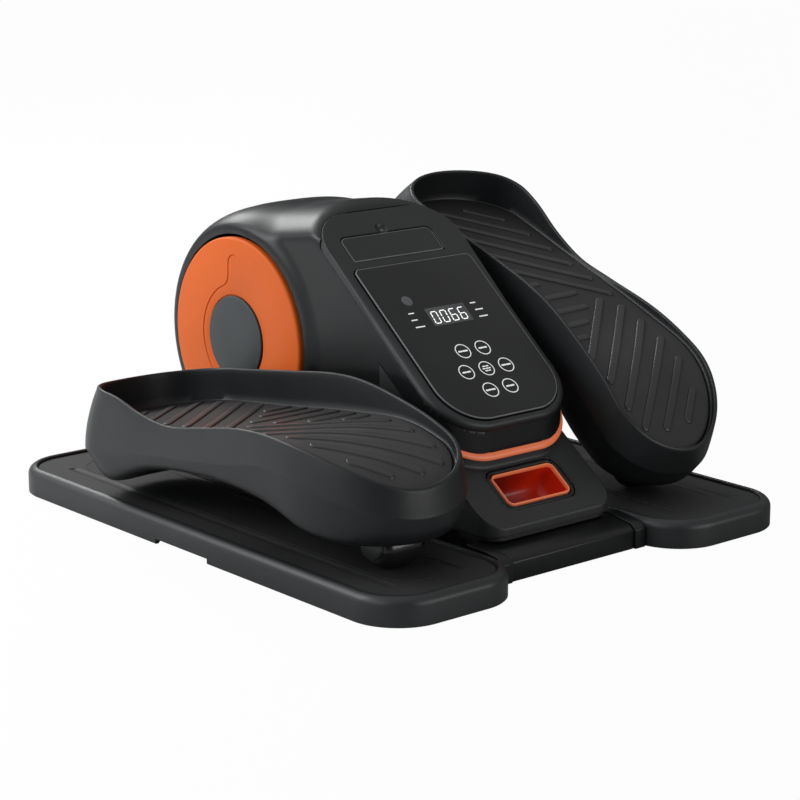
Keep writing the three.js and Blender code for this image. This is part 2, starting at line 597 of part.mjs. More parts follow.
SIDES.forEach(([name, side], index) => {
  const place = pedalPlace(CRANK_ANGLE + 180 * index);
  const pedal = new THREE.Group();
  pedal.position.set(side * PEDAL_X, place.y, ROLLER_Z);
  pedal.rotation.x = place.tilt;
  exerciser.add(pedal);
  const put = (piece, geometry, material) => add(`${name}_${piece}`, onSide(geometry, side), material, pedal);

  put('pedal_shell', pedalShell(), 'pedal');
  put('pedal_footbed', pedalFootbed(), 'mat');
  const spindleEnd = DISC_FACE + 1.4 - PEDAL_X;
  put('pedal_spindle', rod(9, spindleEnd, -44, SPINDLE_REACH, SPINDLE_RISE, 20), 'steel');
  put('roller_bracket', cut(box(-15.5, 15.5, -11, 11, -6, 26 - GAP), box(-12, 12, -20, 20, -10, 19),
    rod(4 + GAP, -30, 30, 0, 0, 20)), 'steel');
  put('roller_axle', rod(4, -15.3, 15.3, 0, 0, 20), 'steel');
  put('heel_roller', turned([[-11, 4 + GAP], [-11, 12.5], [-8.5, ROLLER_RADIUS], [8.5, ROLLER_RADIUS],
    [11, 12.5], [11, 4 + GAP]], 0, 0, 24), 'rubber');
});

export default exerciser;
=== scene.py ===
import json
import math

import bmesh
import bpy
import numpy as np
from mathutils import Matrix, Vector


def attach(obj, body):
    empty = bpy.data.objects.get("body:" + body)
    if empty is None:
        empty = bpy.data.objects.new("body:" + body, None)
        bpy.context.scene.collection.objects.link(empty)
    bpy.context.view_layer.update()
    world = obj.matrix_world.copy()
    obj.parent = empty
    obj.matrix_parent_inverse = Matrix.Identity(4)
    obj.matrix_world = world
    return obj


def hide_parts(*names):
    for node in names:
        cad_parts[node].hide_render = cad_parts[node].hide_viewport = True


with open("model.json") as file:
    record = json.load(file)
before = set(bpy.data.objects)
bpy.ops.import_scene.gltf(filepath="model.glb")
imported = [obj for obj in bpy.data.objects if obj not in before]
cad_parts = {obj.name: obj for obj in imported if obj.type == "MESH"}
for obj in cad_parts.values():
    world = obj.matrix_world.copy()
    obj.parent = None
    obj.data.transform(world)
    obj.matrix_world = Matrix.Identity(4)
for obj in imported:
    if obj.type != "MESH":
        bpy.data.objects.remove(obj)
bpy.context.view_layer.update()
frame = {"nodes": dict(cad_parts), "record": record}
MM = 0.001

# ---------- driving dimensions, as in the CAD part ----------
GAP = 0.3
LENGTH, HALF_WIDTH, PLATE_INNER, PLATE_CORNER = 470.0, 197.8, 71.9, 39.5
PLATE_TOP, TRACK_TOP = 22.0, 19.7
CRANK_Y, CRANK_Z, CRANK_RADIUS, CRANK_ANGLE = 103.0, 125.5, 59.2, -86.0
SPINDLE_REACH, SPINDLE_RISE, ROLLER_Z = 269.6, 54.2, 35.0
DISC_RADIUS, DISC_FACE, HUB_RADIUS = 79.3, 70.0, 33.6
DRUM_LIP, DRUM_HALF, BODY_HALF = 85.0, 67.0, 65.5
CROWN_FALL = math.radians(8.8)
PANEL_SLOPE, PANEL_Y, PANEL_Z = math.radians(39.1), -108.8, 128.6
BEZEL_DROP, BEZEL_THICK, POD_DEPTH, BAND_THICK, POD_LOW = 1.6, 6.0, 19.0, 3.1, -49.2
PEDESTAL_SLOPE, LIP_Y, LIP_Z = math.radians(36.0), -186.0, 30.5
LIP_BACK = 3.0                   # the pedestal's front edge stands this far behind the slope's foot
PANEL_TOP = 107.5
PANEL = (PANEL_SLOPE, PANEL_Y, PANEL_Z)
PEDESTAL = (PEDESTAL_SLOPE, LIP_Y, LIP_Z)
PEDAL_X, PEDAL_HEEL, PEDAL_TOE = 137.0, -43.0, 295.0
PEDAL_OUTER, PEDAL_INNER = 63.8, 55.5
SIDES = (("left", -1), ("right", 1))


# ---------- materials ----------
SETTINGS = ("operation", "bands_direction")


def node(tree, kind, **values):
    """New shader node with its input values and settings."""
    new = tree.nodes.new("ShaderNode" + kind)
    for key, value in values.items():
        if key in SETTINGS:
            setattr(new, key, value)
        else:
            new.inputs[key.replace("_", " ")].default_value = value
    return new


def ramp(tree, source, stops):
    """Colour output of a two-stop ramp driven by source."""
    new = node(tree, "ValToRGB")
    for element, (position, color) in zip(new.color_ramp.elements, stops):
        element.position, element.color = position, (*color, 1)
    tree.links.new(source, new.inputs["Fac"])
    return new.outputs["Color"]


def along(tree, source, direction):
    """How far a coordinate reaches along a direction."""
    new = node(tree, "VectorMath", operation="DOT_PRODUCT")
    new.inputs[1].default_value = direction
    tree.links.new(source, new.inputs[0])
    return new.outputs["Value"]


def plastic(name, color, roughness, grain=900.0, bump=0.012, vary=0.25, mottle=14.0, spec=0.5, coat=0.0):
    """Moulded plastic: fine spark texture in the bump, slow drift in colour and roughness."""
    m = bpy.data.materials.new(name)
    m.use_nodes = True
    nt = m.node_tree
    bsdf = nt.nodes["Principled BSDF"]
    coord = node(nt, "TexCoord")
    fine = node(nt, "TexNoise", Scale=grain, Detail=3.0)
    slow = node(nt, "TexNoise", Scale=mottle, Detail=4.0)
    for texture in (fine, slow):
        nt.links.new(coord.outputs["Object"], texture.inputs["Vector"])
    stops = ((0.3, [c * (1 - vary) for c in color]), (0.7, [min(1, c * (1 + vary)) for c in color]))
    nt.links.new(ramp(nt, slow.outputs["Fac"], stops), bsdf.inputs["Base Color"])
    rough = node(nt, "MapRange", To_Min=roughness - 0.05, To_Max=roughness + 0.05)
    nt.links.new(fine.outputs["Fac"], rough.inputs["Value"])
    nt.links.new(rough.outputs["Result"], bsdf.inputs["Roughness"])
    relief = node(nt, "Bump", Strength=bump * 10, Distance=0.0001)
    nt.links.new(fine.outputs["Fac"], relief.inputs["Height"])
    nt.links.new(relief.outputs["Normal"], bsdf.inputs["Normal"])
    bsdf.inputs["Specular IOR Level"].default_value = spec
    bsdf.inputs["Coat Weight"].default_value = coat
    return m


def metal(name, color, roughness):
    """Rolled steel with stretched brushing."""
    m = plastic(name, color, roughness, grain=60.0, bump=0.02, vary=0.12, mottle=30.0)
    nt = m.node_tree
    nt.nodes["Principled BSDF"].inputs["Metallic"].default_value = 1.0
    mapping = node(nt, "Mapping", Scale=(1.0, 14.0, 14.0))
    nt.links.new(nt.nodes["Texture Coordinate"].outputs["Object"], mapping.inputs["Vector"])
    nt.links.new(mapping.outputs["Vector"], nt.nodes["Noise Texture"].inputs["Vector"])
    return m


def glow(m, color, strength):
    bsdf = m.node_tree.nodes["Principled BSDF"]
    bsdf.inputs["Emission Color"].default_value = (*color, 1)
    bsdf.inputs["Emission Strength"].default_value = strength
    return m


def footbed_material():
    """Black moulded pad with a long grain along the foot."""
    m = plastic("footbed_black", (0.029, 0.0272, 0.0276), 0.6, grain=520.0, bump=0.02, vary=0.2, spec=0.22)
    nt = m.node_tree
    wave = node(nt, "TexWave", bands_direction="X", Scale=170.0, Distortion=1.5, Detail=2.0)
    nt.links.new(nt.nodes["Texture Coordinate"].outputs["Object"], wave.inputs["Vector"])
    grain = node(nt, "Bump", Strength=0.08, Distance=0.0002)
    nt.links.new(wave.outputs["Fac"], grain.inputs["Height"])
    nt.links.new(nt.nodes["Bump"].outputs["Normal"], grain.inputs["Normal"])
    nt.links.new(grain.outputs["Normal"], nt.nodes["Principled BSDF"].inputs["Normal"])
    return m


def graded(m, direction, start, end, low, high):
    """Scale a material's colour from low to high between two distances in metres along a direction."""
    nt = m.node_tree
    link = next(k for k in nt.links if k.to_socket.name == "Base Color")
    source, target = link.from_socket, link.to_socket
    place = along(nt, node(nt, "TexCoord").outputs["Object"], direction)
    shade = node(nt, "MapRange", From_Min=start, From_Max=end, To_Min=low, To_Max=high)
    nt.links.new(place, shade.inputs["Value"])
    scaled = node(nt, "VectorMath", operation="SCALE")
    nt.links.new(source, scaled.inputs[0])
    nt.links.new(shade.outputs["Result"], scaled.inputs["Scale"])
    nt.links.new(scaled.outputs["Vector"], target)


M = {
    "body": plastic("body_charcoal", (0.0050, 0.0053, 0.0058), 0.36, spec=0.33),
    "pedal": plastic("pedal_charcoal", (0.0082, 0.0090, 0.0098), 0.43, spec=0.42),
    "footbed": footbed_material(),
    "bezel": plastic("bezel_black", (0.012, 0.0124, 0.013), 0.45),
    "door": plastic("door_black", (0.0115, 0.012, 0.0125), 0.47),
    "plate": plastic("plate_charcoal", (0.0125, 0.0135, 0.0142), 0.42),
    "track": plastic("track_black", (0.024, 0.0238, 0.0238), 0.6, grain=500.0, spec=0.35),
    "pedestal": plastic("pedestal_charcoal", (0.0135, 0.0138, 0.0142), 0.47),
    "orange": plastic("orange_satin", (0.70, 0.122, 0.014), 0.5, vary=0.05, spec=0.22),
    # light grey of the thin edge strips round the panel and door: painted highlight
    "edge_highlight": plastic("edge_highlight_grey", (0.15, 0.15, 0.155), 0.38, vary=0.1, spec=0.5),
    "rib": plastic("rib_black", (0.017, 0.016, 0.0163), 0.38, grain=520.0, bump=0.01, spec=0.6),
    # near-black for the bead in the handle frame's trough: painted shade
    "trough_shade": plastic("trough_shade_black", (0.0022, 0.0026, 0.0030), 0.3, vary=0.1, spec=0.35),
    "rim": plastic("rim_orange", (0.98, 0.25, 0.10), 0.34, vary=0.04),
    "band": plastic("band_orange", (0.98, 0.23, 0.085), 0.36, vary=0.04),
    "well": plastic("well_red", (0.52, 0.020, 0.004), 0.3, vary=0.12),
    "hub": plastic("hub_slate", (0.030, 0.034, 0.037), 0.5, vary=0.08),
    "panel": plastic("panel_black", (0.0105, 0.0108, 0.0116), 0.3, 300.0, 0.003, spec=0.3, coat=0.1),
    "window": plastic("window_smoke", (0.082, 0.082, 0.084), 0.45, bump=0.002, spec=0.4),
    # the white print also glows faintly, though it is no lamp: painted light
    "print": glow(plastic("print_white", (0.8, 0.8, 0.8), 0.5, vary=0.03), (1, 1, 1), 0.25),
    "digit": glow(plastic("digit_white", (0.9, 0.9, 0.9), 0.5, vary=0.02), (1, 1, 1), 0.9),
    "lens": plastic("lens_grey", (0.10, 0.10, 0.105), 0.3),
    "rubber": plastic("rubber_black", (0.012, 0.012, 0.0125), 0.6, grain=700.0, bump=0.03),
    "roller": plastic("roller_black", (0.010, 0.010, 0.0105), 0.22, vary=0.1),
    "steel": metal("zinc_steel", (0.45, 0.46, 0.47), 0.35),
    "fork": plastic("fork_black", (0.014, 0.0145, 0.015), 0.4),
    "motor": plastic("motor_grey", (0.10, 0.10, 0.11), 0.4, spec=0.6),
    "board": plastic("board_green", (0.02, 0.10, 0.045), 0.5, grain=250.0),
}
# painted light: the orange trim band and handle rim glow faintly, so they read brighter than the lamps light
# them
for glowing_orange in ("band", "rim"):
    glow(M[glowing_orange], (1.0, 0.21, 0.11), 0.07)
# painted shade and light: the well's red is scaled darker towards -x and +y and brighter towards +x and -y
graded(M["well"], (0.76, -0.65, 0), 0.080, 0.128, 0.35, 1.7)
# painted light and shade: the pad's colour is scaled lighter towards the heel (-y) and darker towards the
# toe (+y)
graded(M["footbed"], (0, 1, 0), -0.10, 0.12, 1.3, 0.42)


# ---------- mesh helpers ----------
def raw_object(name, verts, faces):
    """Object in the scene from points in mm and faces."""
    mesh = bpy.data.meshes.new(name)
    points = [tuple(float(c) * MM for c in v) for v in verts]
    mesh.from_pydata(points, [], [tuple(map(int, f)) for f in faces])
    mesh.validate()
    obj = bpy.data.objects.new(name, mesh)
    bpy.context.scene.collection.objects.link(obj)
    return obj


def smoothed(obj, sharp):
    """Shades a piece smooth, apart from edges sharper than an angle in degrees."""
    obj.data.shade_smooth()
    obj.data.set_sharp_from_angle(angle=math.radians(sharp))
    return obj


def mesh_piece(name, part, material, body, replaces=(), sharp=35.0):
    """A piece from points in mm and faces, riding on body."""
    finish_piece(smoothed(raw_object(name, *part), sharp), material, body, replaces)


def finish_piece(obj, material, body, replaces=()):
    """Material, body and replaced nodes of a piece."""
    obj.data.materials.clear()
    obj.data.materials.append(M[material])
    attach(obj, body)
    if replaces:
        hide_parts(*replaces)


def outward(obj):
    """Turns every face of a closed mesh to face out."""
    bm = bmesh.new()
    bm.from_mesh(obj.data)
    bmesh.ops.recalc_face_normals(bm, faces=bm.faces)
    bm.to_mesh(obj.data)
    bm.free()
    return obj


def settle(obj):
    """Replaces a mesh by the result of its modifiers."""
    bpy.context.view_layer.update()
    done = bpy.data.meshes.new_from_object(obj.evaluated_get(bpy.context.evaluated_depsgraph_get()))
    obj.modifiers.clear()
    obj.data = done


def closed_piece(name, part, material, body, replaces=(), sharp=35.0, cut=None):
    """A piece whose faces are turned to face out, with another closed shape cut away where one is given."""
    obj = outward(raw_object(name, *part))
    if cut:
        cutter = outward(raw_object("cutter", *cut))
        carve = obj.modifiers.new("carve", "BOOLEAN")
        carve.operation, carve.object, carve.solver = "DIFFERENCE", cutter, "EXACT"
        settle(obj)
        bpy.data.objects.remove(cutter)
    finish_piece(smoothed(obj, sharp), material, body, replaces)


def joined(parts):
    """Several (verts, faces) lists as one."""
    verts, faces = [], []
    for v, f in parts:
        base = len(verts)
        verts.extend(list(map(tuple, v)))
        faces.extend([tuple(base + i for i in face) for face in f])
    return verts, faces


def stack(rings, caps=True, loop=False):
    """Skin over rings with equal point counts. loop closes the last ring on the first."""
    n = len(rings[0])
    verts = [tuple(p) for ring in rings for p in ring]
    faces = []
    levels = len(rings)
    for i in range(levels if loop else levels - 1):
        a, b = i * n, ((i + 1) % levels) * n
        for k in range(n):
            m = (k + 1) % n
            faces.append((a + k, a + m, b + m, b + k))
    if caps and not loop:
        faces.append(tuple(reversed(range(n))))
        faces.append(tuple((levels - 1) * n + k for k in range(n)))
    return verts, faces


def round_rect(x0, x1, y0, y1, radii, per=14):
    """Corners: low-left, low-right, high-right, high-left. Counter-clockwise from low-left's end."""
    ll, lr, hr, hl = radii
    spots = ((x0 + ll, y0 + ll, ll, math.pi), (x1 - lr, y0 + lr, lr, 1.5 * math.pi),
             (x1 - hr, y1 - hr, hr, 0.0), (x0 + hl, y1 - hl, hl, 0.5 * math.pi))
    out = []
    for cx, cy, r, start in spots:
        for k in range(per + 1):
            a = start + k / per * math.pi / 2
            out.append((cx + r * math.cos(a), cy + r * math.sin(a)))
    return out


def ellipse(x, y, rx, ry, sides=48):
    angles = [2 * math.pi * k / sides for k in range(sides)]
    return [(x + rx * math.cos(a), y + ry * math.sin(a)) for a in angles]


def inset_rect(x0, x1, y0, y1, radii, per=14):
    """The same outline drawn further in by any amount."""
    def at(inset):
        rr = tuple(max(r - inset, 0.05) for r in radii)
        return round_rect(x0 + inset, x1 - inset, y0 + inset, y1 - inset, rr, per)
    return at


def plain(points, z):
    return [(x, y, z) for x, y in points]


def box_part(xs, ys, zs):
    """Plain block, for cutting openings."""
    (x0, x1), (y0, y1) = xs, ys
    return stack([[(x0, y0, z), (x1, y0, z), (x1, y1, z), (x0, y1, z)] for z in zs])


def skin(outline, profile, place=list, loop=False):
    """Skin over one outline, drawn at each (inset, height) of a profile."""
    return stack([place(plain(outline(inset), height)) for inset, height in profile], loop=loop)


def edge_round(radius, steps=5):
    """(inset, drop) pairs from the side wall over a rounded edge to the top face."""
    angles = [k / steps * math.pi / 2 for k in range(steps + 1)]
    return [(radius * (1 - math.cos(a)), radius * (1 - math.sin(a))) for a in angles]


def on_slope(points, slope, y, z):
    """Points drawn on a slope, put where the slope is."""
    c, s = math.cos(slope), math.sin(slope)
    return [(px, y + py * c - pz * s, z + py * s + pz * c) for px, py, pz in points]


def slope_axes(y, z, slope, y0, z0):
    """How far points lie up a slope and out from it."""
    c, s = math.cos(slope), math.sin(slope)
    dy, dz = y - y0, z - z0
    return dy * c + dz * s, -dy * s + dz * c


def on_panel(points):
    return on_slope(points, *PANEL)


def on_pedestal(points):
    return on_slope(points, *PEDESTAL)


def turned(profile, sides=128, centre=(CRANK_Y, CRANK_Z), loop=False):
    """Body turned round an X axis through centre, from [x, radius] corners."""
    rings = [[(x, y, z) for y, z in ellipse(*centre, r, r, sides)] for x, r in profile]
    return stack(rings, loop=loop)


def flipped(faces):
    return [tuple(reversed(f)) for f in faces]


def mirror_x(part):
    verts, faces = part
    return [(-x, y, z) for x, y, z in verts], flipped(faces)


def for_side(part, side):
    return part if side > 0 else mirror_x(part)


def smooth_curve(knots):
    """Smooth curve through [x, value] knots, as a function of an array."""
    xs = np.array([k[0] for k in knots], float)
    vs = np.array([k[1] for k in knots], float)
    slopes = np.array([(vs[min(i + 1, len(xs) - 1)] - vs[max(i - 1, 0)])
                       / (xs[min(i + 1, len(xs) - 1)] - xs[max(i - 1, 0)]) for i in range(len(xs))])

    def at(x):
        x = np.asarray(x, float)
        i = np.clip(np.searchsorted(xs, x) - 1, 0, len(xs) - 2)
        w = xs[i + 1] - xs[i]
        t = np.clip((x - xs[i]) / w, 0, 1)
        t2, t3 = t * t, t * t * t
        return (vs[i] * (2 * t3 - 3 * t2 + 1) + vs[i + 1] * (3 * t2 - 2 * t3)
                + w * (slopes[i] * (t3 - 2 * t2 + t) + slopes[i + 1] * (t3 - t2)))
    return at


# ---------- signed distance tools ----------
def smax(a, b, k):
    """Larger of two distances, with a soft change over k mm."""
    h = np.maximum(k - np.abs(a - b), 0) / k
    return np.maximum(a, b) + h * h * k * 0.25


def smin(a, b, k):
    return -smax(-a, -b, k)


def meet(*distances):
    """Distance to what all the forms share."""
    return np.maximum.reduce(distances)


def sd_rect(x, y, x0, x1, y0, y1, radii):
    """Distance to a rounded rectangle with its own radius at each corner (ll, lr, hr, hl)."""
    cx, cy = (x0 + x1) / 2, (y0 + y1) / 2
    px, py = x - cx, y - cy
    ll, lr, hr, hl = radii
    r = np.where(py < 0, np.where(px < 0, ll, lr), np.where(px < 0, hl, hr))
    qx = np.abs(px) - (x1 - x0) / 2 + r
    qy = np.abs(py) - (y1 - y0) / 2 + r
    return np.minimum(np.maximum(qx, qy), 0) + np.hypot(np.maximum(qx, 0), np.maximum(qy, 0)) - r


def sd_shoulder(dx, dr, a, b):
    """Distance to a quarter ellipse with half axes a and b; negative inside."""
    dx, dr = np.maximum(dx, 0), np.maximum(dr, 0)
    k0 = np.hypot(dx / a, dr / b)
    k1 = np.hypot(dx / a ** 2, dr / b ** 2)
    return np.where(k1 > 1e-9, k0 * (k0 - 1) / np.maximum(k1, 1e-9), -min(a, b))


def crossings(field, value, low, step, axis):
    """Where the skin crosses the grid's edges along one axis: corners, ways out, points and directions."""
    change = np.argwhere(np.diff(value < 0, axis=axis))
    others = [i for i in range(3) if i != axis]
    edge = change[:, others]
    change = change[((edge > 0) & (edge < np.array(value.shape)[others] - 1)).all(1)]
    way = np.eye(3, dtype=int)[axis]
    start = low + change * step
    f0, f1 = value[tuple(change.T)], value[tuple((change + way).T)]
    leaving = f0 < 0
    t0, t1 = np.zeros(len(f0)), np.ones(len(f0))
    for _ in range(3):
        t = t0 + (t1 - t0) * np.clip(f0 / (f0 - f1), 0.02, 0.98)
        f = field(start + way * (t * step)[:, None])
        same = (f < 0) == (f0 < 0)
        t0, f0 = np.where(same, t, t0), np.where(same, f, f0)
        t1, f1 = np.where(same, t1, t), np.where(same, f1, f)
    t = t0 + (t1 - t0) * f0 / np.where(f0 == f1, 1, f0 - f1)
    point = start + way * (t * step)[:, None]
    g = np.stack([field(point + e) - field(point - e) for e in np.eye(3) * (step * 0.02)], 1)
    return change, leaving, point, g / np.maximum(np.linalg.norm(g, axis=1, keepdims=True), 1e-12)


def cell_points(index, point, normal):
    """The point of each cell that lies nearest the planes through its crossings."""
    def total(weights):
        return np.bincount(index, weights=weights)

    count = total(np.ones(len(index)))
    mean = np.stack([total(point[:, d]) / count for d in range(3)], 1)
    reach = (normal * (point - mean[index])).sum(1)
    squares = np.stack([total(normal[:, i] * normal[:, j]) for i in range(3) for j in range(3)], 1)
    target = np.stack([total(normal[:, i] * reach) for i in range(3)], 1)
    matrix = squares.reshape(-1, 3, 3) + np.eye(3) * 0.06
    return mean + np.linalg.solve(matrix, target[..., None])[..., 0]


def contour(field, low, high, step):
    """Closed skin of field < 0 with its sharp edges kept: one point in each cell that the skin crosses."""
    low, high = np.array(low, float), np.array(high, float)
    n = np.ceil((high - low) / step).astype(int) + 1
    xs, ys, zs = (low[i] + step * np.arange(n[i]) for i in range(3))
    yz = np.stack(np.meshgrid(ys, zs, indexing="ij"), -1).reshape(-1, 2)
    value = np.stack([field(np.column_stack([np.full(len(yz), x), yz])).reshape(n[1:]) for x in xs])
    cells = n - 1
    strides = np.array([cells[1] * cells[2], cells[2], 1])
    owner, points, normals, quads = [], [], [], []
    for axis in range(3):
        change, leaving, point, normal = crossings(field, value, low, step, axis)
        u, v = np.delete(strides, axis)
        quad = (change @ strides)[:, None] - (0, u, u + v, v)
        owner.append(quad.T.ravel())
        points.append(np.tile(point, (4, 1)))
        normals.append(np.tile(normal, (4, 1)))
        flip = leaving == (axis == 1)
        quad[flip] = quad[flip][:, ::-1]
        quads.append(quad)
    cell_ids, index = np.unique(np.concatenate(owner), return_inverse=True)
    corner = np.stack([cell_ids // strides[0], cell_ids // strides[1] % cells[1], cell_ids % cells[2]], 1)
    lowest = low + corner * step
    verts = cell_points(index, np.concatenate(points), np.concatenate(normals))
    verts = np.clip(verts, lowest - 0.1 * step, lowest + 1.1 * step)
    return verts, np.searchsorted(cell_ids, np.concatenate(quads))


def surface(name, field, low, high, step, material, body, replaces=(), place=list, sharp=32.0, side=1):
    """A piece from the skin of a field, placed and mirrored where asked."""
    verts, faces = contour(field, low, high, step)
    mesh_piece(name, for_side((place(verts), faces), side), material, body, replaces, sharp)


def upright_v(y, v, n):
    """Place on the slope of the bezel's edge straight above a point, so that the walls below drop plumb."""
    edge = -BEZEL_DROP - BEZEL_THICK
    plumb = (y - PANEL_Y + edge * math.sin(PANEL_SLOPE)) / math.cos(PANEL_SLOPE)
    return np.where(n < edge, plumb, v)


# ---------- housing ----------
BAND_LOW = -BEZEL_DROP - POD_DEPTH - GAP - BAND_THICK
BAND_END = -9.0                   # how far up the slope the trim band reaches
SHELL = 3.0
BODY_SLIM = 0.8                   # the console body stands this far inside the bezel's edge
CROWN_Y, CROWN_Z = 20.0, 238.5
CROWN_ROUND = (60, 28)            # half axes of the crown's rounded edges, across and down
DRUM_ROUND = (44, 15.5)           # half axes of the drum's shoulders, across and outward
SKIRT_HALF, SKIRT_BACK = 62, 176.5


def housing_form(p, inset):
    """Distance to the drum, its skirt and the console body as one soft form."""
    x, y, z = p.T
    ax = np.abs(x)
    r = np.hypot(y - CRANK_Y, z - CRANK_Z)
    drum = sd_shoulder(ax - (DRUM_HALF - DRUM_ROUND[0]), r - DRUM_LIP, *DRUM_ROUND) + inset
    drum = smax(drum, ax - DRUM_HALF + inset, 1.0)
    rise = (z - CROWN_Z) * math.cos(CROWN_FALL) + (y - CROWN_Y) * math.sin(CROWN_FALL)
    crown = sd_shoulder(ax - (BODY_HALF - CROWN_ROUND[0]), rise + CROWN_ROUND[1], *CROWN_ROUND)
    v, n = slope_axes(y, z, *PANEL)
    upright = upright_v(y, v, n)
    half = BODY_HALF - BODY_SLIM
    plan = sd_rect(x, upright, -half, half, POD_LOW + BODY_SLIM, 420, (41, 41, 2, 2))
    bottom = np.where(upright > BAND_END + 0.3, BAND_LOW + 0.1, -BEZEL_DROP - POD_DEPTH)
    nose = np.minimum(bottom - n, -64.0 - y)
    block = smax(crown, n + BEZEL_DROP, 9.0)
    block = smax(block, plan, 1.6)
    block = smax(block, nose, 0.5)
    block = smax(block, y - 118.5, 2.0) + inset
    skirt = sd_rect(x, y, -SKIRT_HALF, SKIRT_HALF, 60, SKIRT_BACK, (1, 1, 16, 16))
    skirt = smax(smax(skirt, 20.6 - z, 1.0), z - CRANK_Z, 1.0) + inset
    soft = (2.0, 2.0) if inset else (6.0, 7.0)
    return smin(smin(drum, skirt, soft[0]), block, soft[1])


def housing_field(p):
    x, y, z = p.T
    ax = np.abs(x)
    r = np.hypot(y - CRANK_Y, z - CRANK_Z)
    v, n = slope_axes(y, z, *PANEL)
    outer = smax(housing_form(p, 0.0), 8.3 - z, 1.0)
    f = meet(outer, -meet(housing_form(p, SHELL), 6.0 - z))
    half = BODY_HALF + 0.25
    seat = sd_rect(x, v, -half, half, POD_LOW - 0.25, 163.3, (42.25, 42.25, 34.3, 34.3))
    f = smax(f, -meet(seat, -(n + BEZEL_DROP + BEZEL_THICK + GAP)), 0.7)
    f = smax(f, -meet(r - DISC_RADIUS - 2.3, 55 - ax), 1.2)
    inlet = meet(np.abs(x - 9) - 25.3, np.abs(z - 58) - 14.3, 150 - y)
    return meet(f, -inlet)


surface("housing_form", housing_field, (-69, -142, 6), (69, 206, 243), 1.6, "body", "base",
        ("housing_shell",), sharp=30)


# ---------- bezel, door and panel ----------
DOOR_MID, DOOR_HALF, DOOR_LOW, DOOR_HIGH = -5.2, 44.0, 115.8, 139.6
HINGE_V, HINGE_N = 118.2, -BEZEL_DROP - 1.55
NOTCH = (-5.5, 143.6, 6.6)       # finger dimple: across, up the slope, radius


def door_outline(x, y, grow):
    """Distance to the door's outline, with rounder corners at the top."""
    return sd_rect(x - DOOR_MID, y, -DOOR_HALF - grow, DOOR_HALF + grow, DOOR_LOW - grow, DOOR_HIGH + grow,
                   (1.5 + grow, 1.5 + grow, 5.5 + grow, 5.5 + grow))


def dimple(x, v, n):
    """Distance to the finger dimple's ball."""
    return np.sqrt((x - NOTCH[0]) ** 2 + (v - NOTCH[1]) ** 2 + (n - 2.0) ** 2) - NOTCH[2]


def bezel_field(p):
    x, v, n = p.T
    outline = sd_rect(x, v, -BODY_HALF, BODY_HALF, POD_LOW, 163, (42, 42, 34, 34))
    soft = np.interp(v, (60, 128), (6.5, 1.0))
    f = smax(outline, n + BEZEL_DROP, 1.0 * soft)
    f = smax(f, -(n + BEZEL_DROP + BEZEL_THICK), 1.0)
    seat = sd_rect(x, v, -57.8, 57.8, -43.6, PANEL_TOP + 0.8, (35, 35, 6, 6))
    f = smax(f, -meet(seat, -(n + BEZEL_DROP + 2.4)), 0.9)
    f = meet(f, -sd_rect(x, v, -48, 48, -20, 98, (6,) * 4))
    f = smax(f, -meet(door_outline(x, v, 0.8), -(n + BEZEL_DROP + 3.6)), 0.8)
    half = DOOR_HALF + 0.8
    knuckle = sd_rect(x - DOOR_MID, v, -half, half, DOOR_LOW - 0.8, DOOR_LOW + 7, (1,) * 4)
    f = meet(f, -meet(knuckle, -(n + BEZEL_DROP + 4.8)))
    f = meet(f, -sd_rect(x, v, -36, 36, DOOR_LOW + 4, DOOR_HIGH - 2, (5,) * 4))
    return smax(f, -dimple(x, v, n), 0.8)


surface("bezel_form", bezel_field, (-67.5, -51, -9), (67.5, 165, 0), 0.75, "bezel", "base",
        ("console_bezel",), place=on_panel, sharp=30)


def door_field(p):
    x, v, n = p.T
    f = smax(door_outline(x, v, 0.0), n + BEZEL_DROP + 0.3, 1.2)
    f = meet(f, -(n + BEZEL_DROP + 2.7))
    pin = meet(np.hypot(v - HINGE_V, n - HINGE_N) - 0.9, np.abs(x - DOOR_MID) - DOOR_HALF - 0.2)
    f = np.minimum(f, pin)
    return smax(f, -dimple(x, v, n), 0.8)


surface("door_form", door_field, (-52, 114, -6), (41, 142, 0), 0.5, "door", "door",
        ("compartment_door",), place=on_panel, sharp=30)



def on_console(x, v, sizes, sides=48, loop=False):
    """Skin over ellipses round one point of the console, each a half width, half length and height."""
    rings = [on_panel(plain(ellipse(x, v, rx, ry, sides), height)) for rx, ry, height in sizes]
    return stack(rings, loop=loop)


catch = []
for angle in range(0, 90, 15):
    reach, rise = math.cos(math.radians(angle)), math.sin(math.radians(angle))
    catch.append((2.3 * reach, 1.8 * reach, -BEZEL_DROP - 3.6 + 2.4 * rise))
catch.append((0.3, 0.25, -BEZEL_DROP - 1.2))
catch = on_console(NOTCH[0] + 1.2, NOTCH[1], catch, sides=32)
mesh_piece("door_catch", catch, "lens", "base")

WINDOW = (19.0, 44.9, 61.9)      # display window: half width, low and high
panel_outline = inset_rect(-57, 57, -42.8, PANEL_TOP, (34.4, 34.4, 5.4, 5.4))
profile = [(0.4, -3.7), (0, -3.3)] + [(i, -d) for i, d in edge_round(1.1)]
mesh_piece("panel_form", skin(panel_outline, profile, on_panel), "panel", "base",
           ("control_panel",), sharp=50)


def edge_line(name, outline, height, body):
    """Fine crisp raised edge along an outline on the console, in light grey: a painted highlight along the
    edge.
    """
    profile = ((0.05, -0.9), (0.05, -0.42), (0.3, -0.05), (0.72, 0.04), (0.86, -0.05), (0.86, -0.9))
    line = skin(outline, [(i, height + d) for i, d in profile], on_panel, loop=True)
    mesh_piece(name, line, "edge_highlight", body, sharp=60)


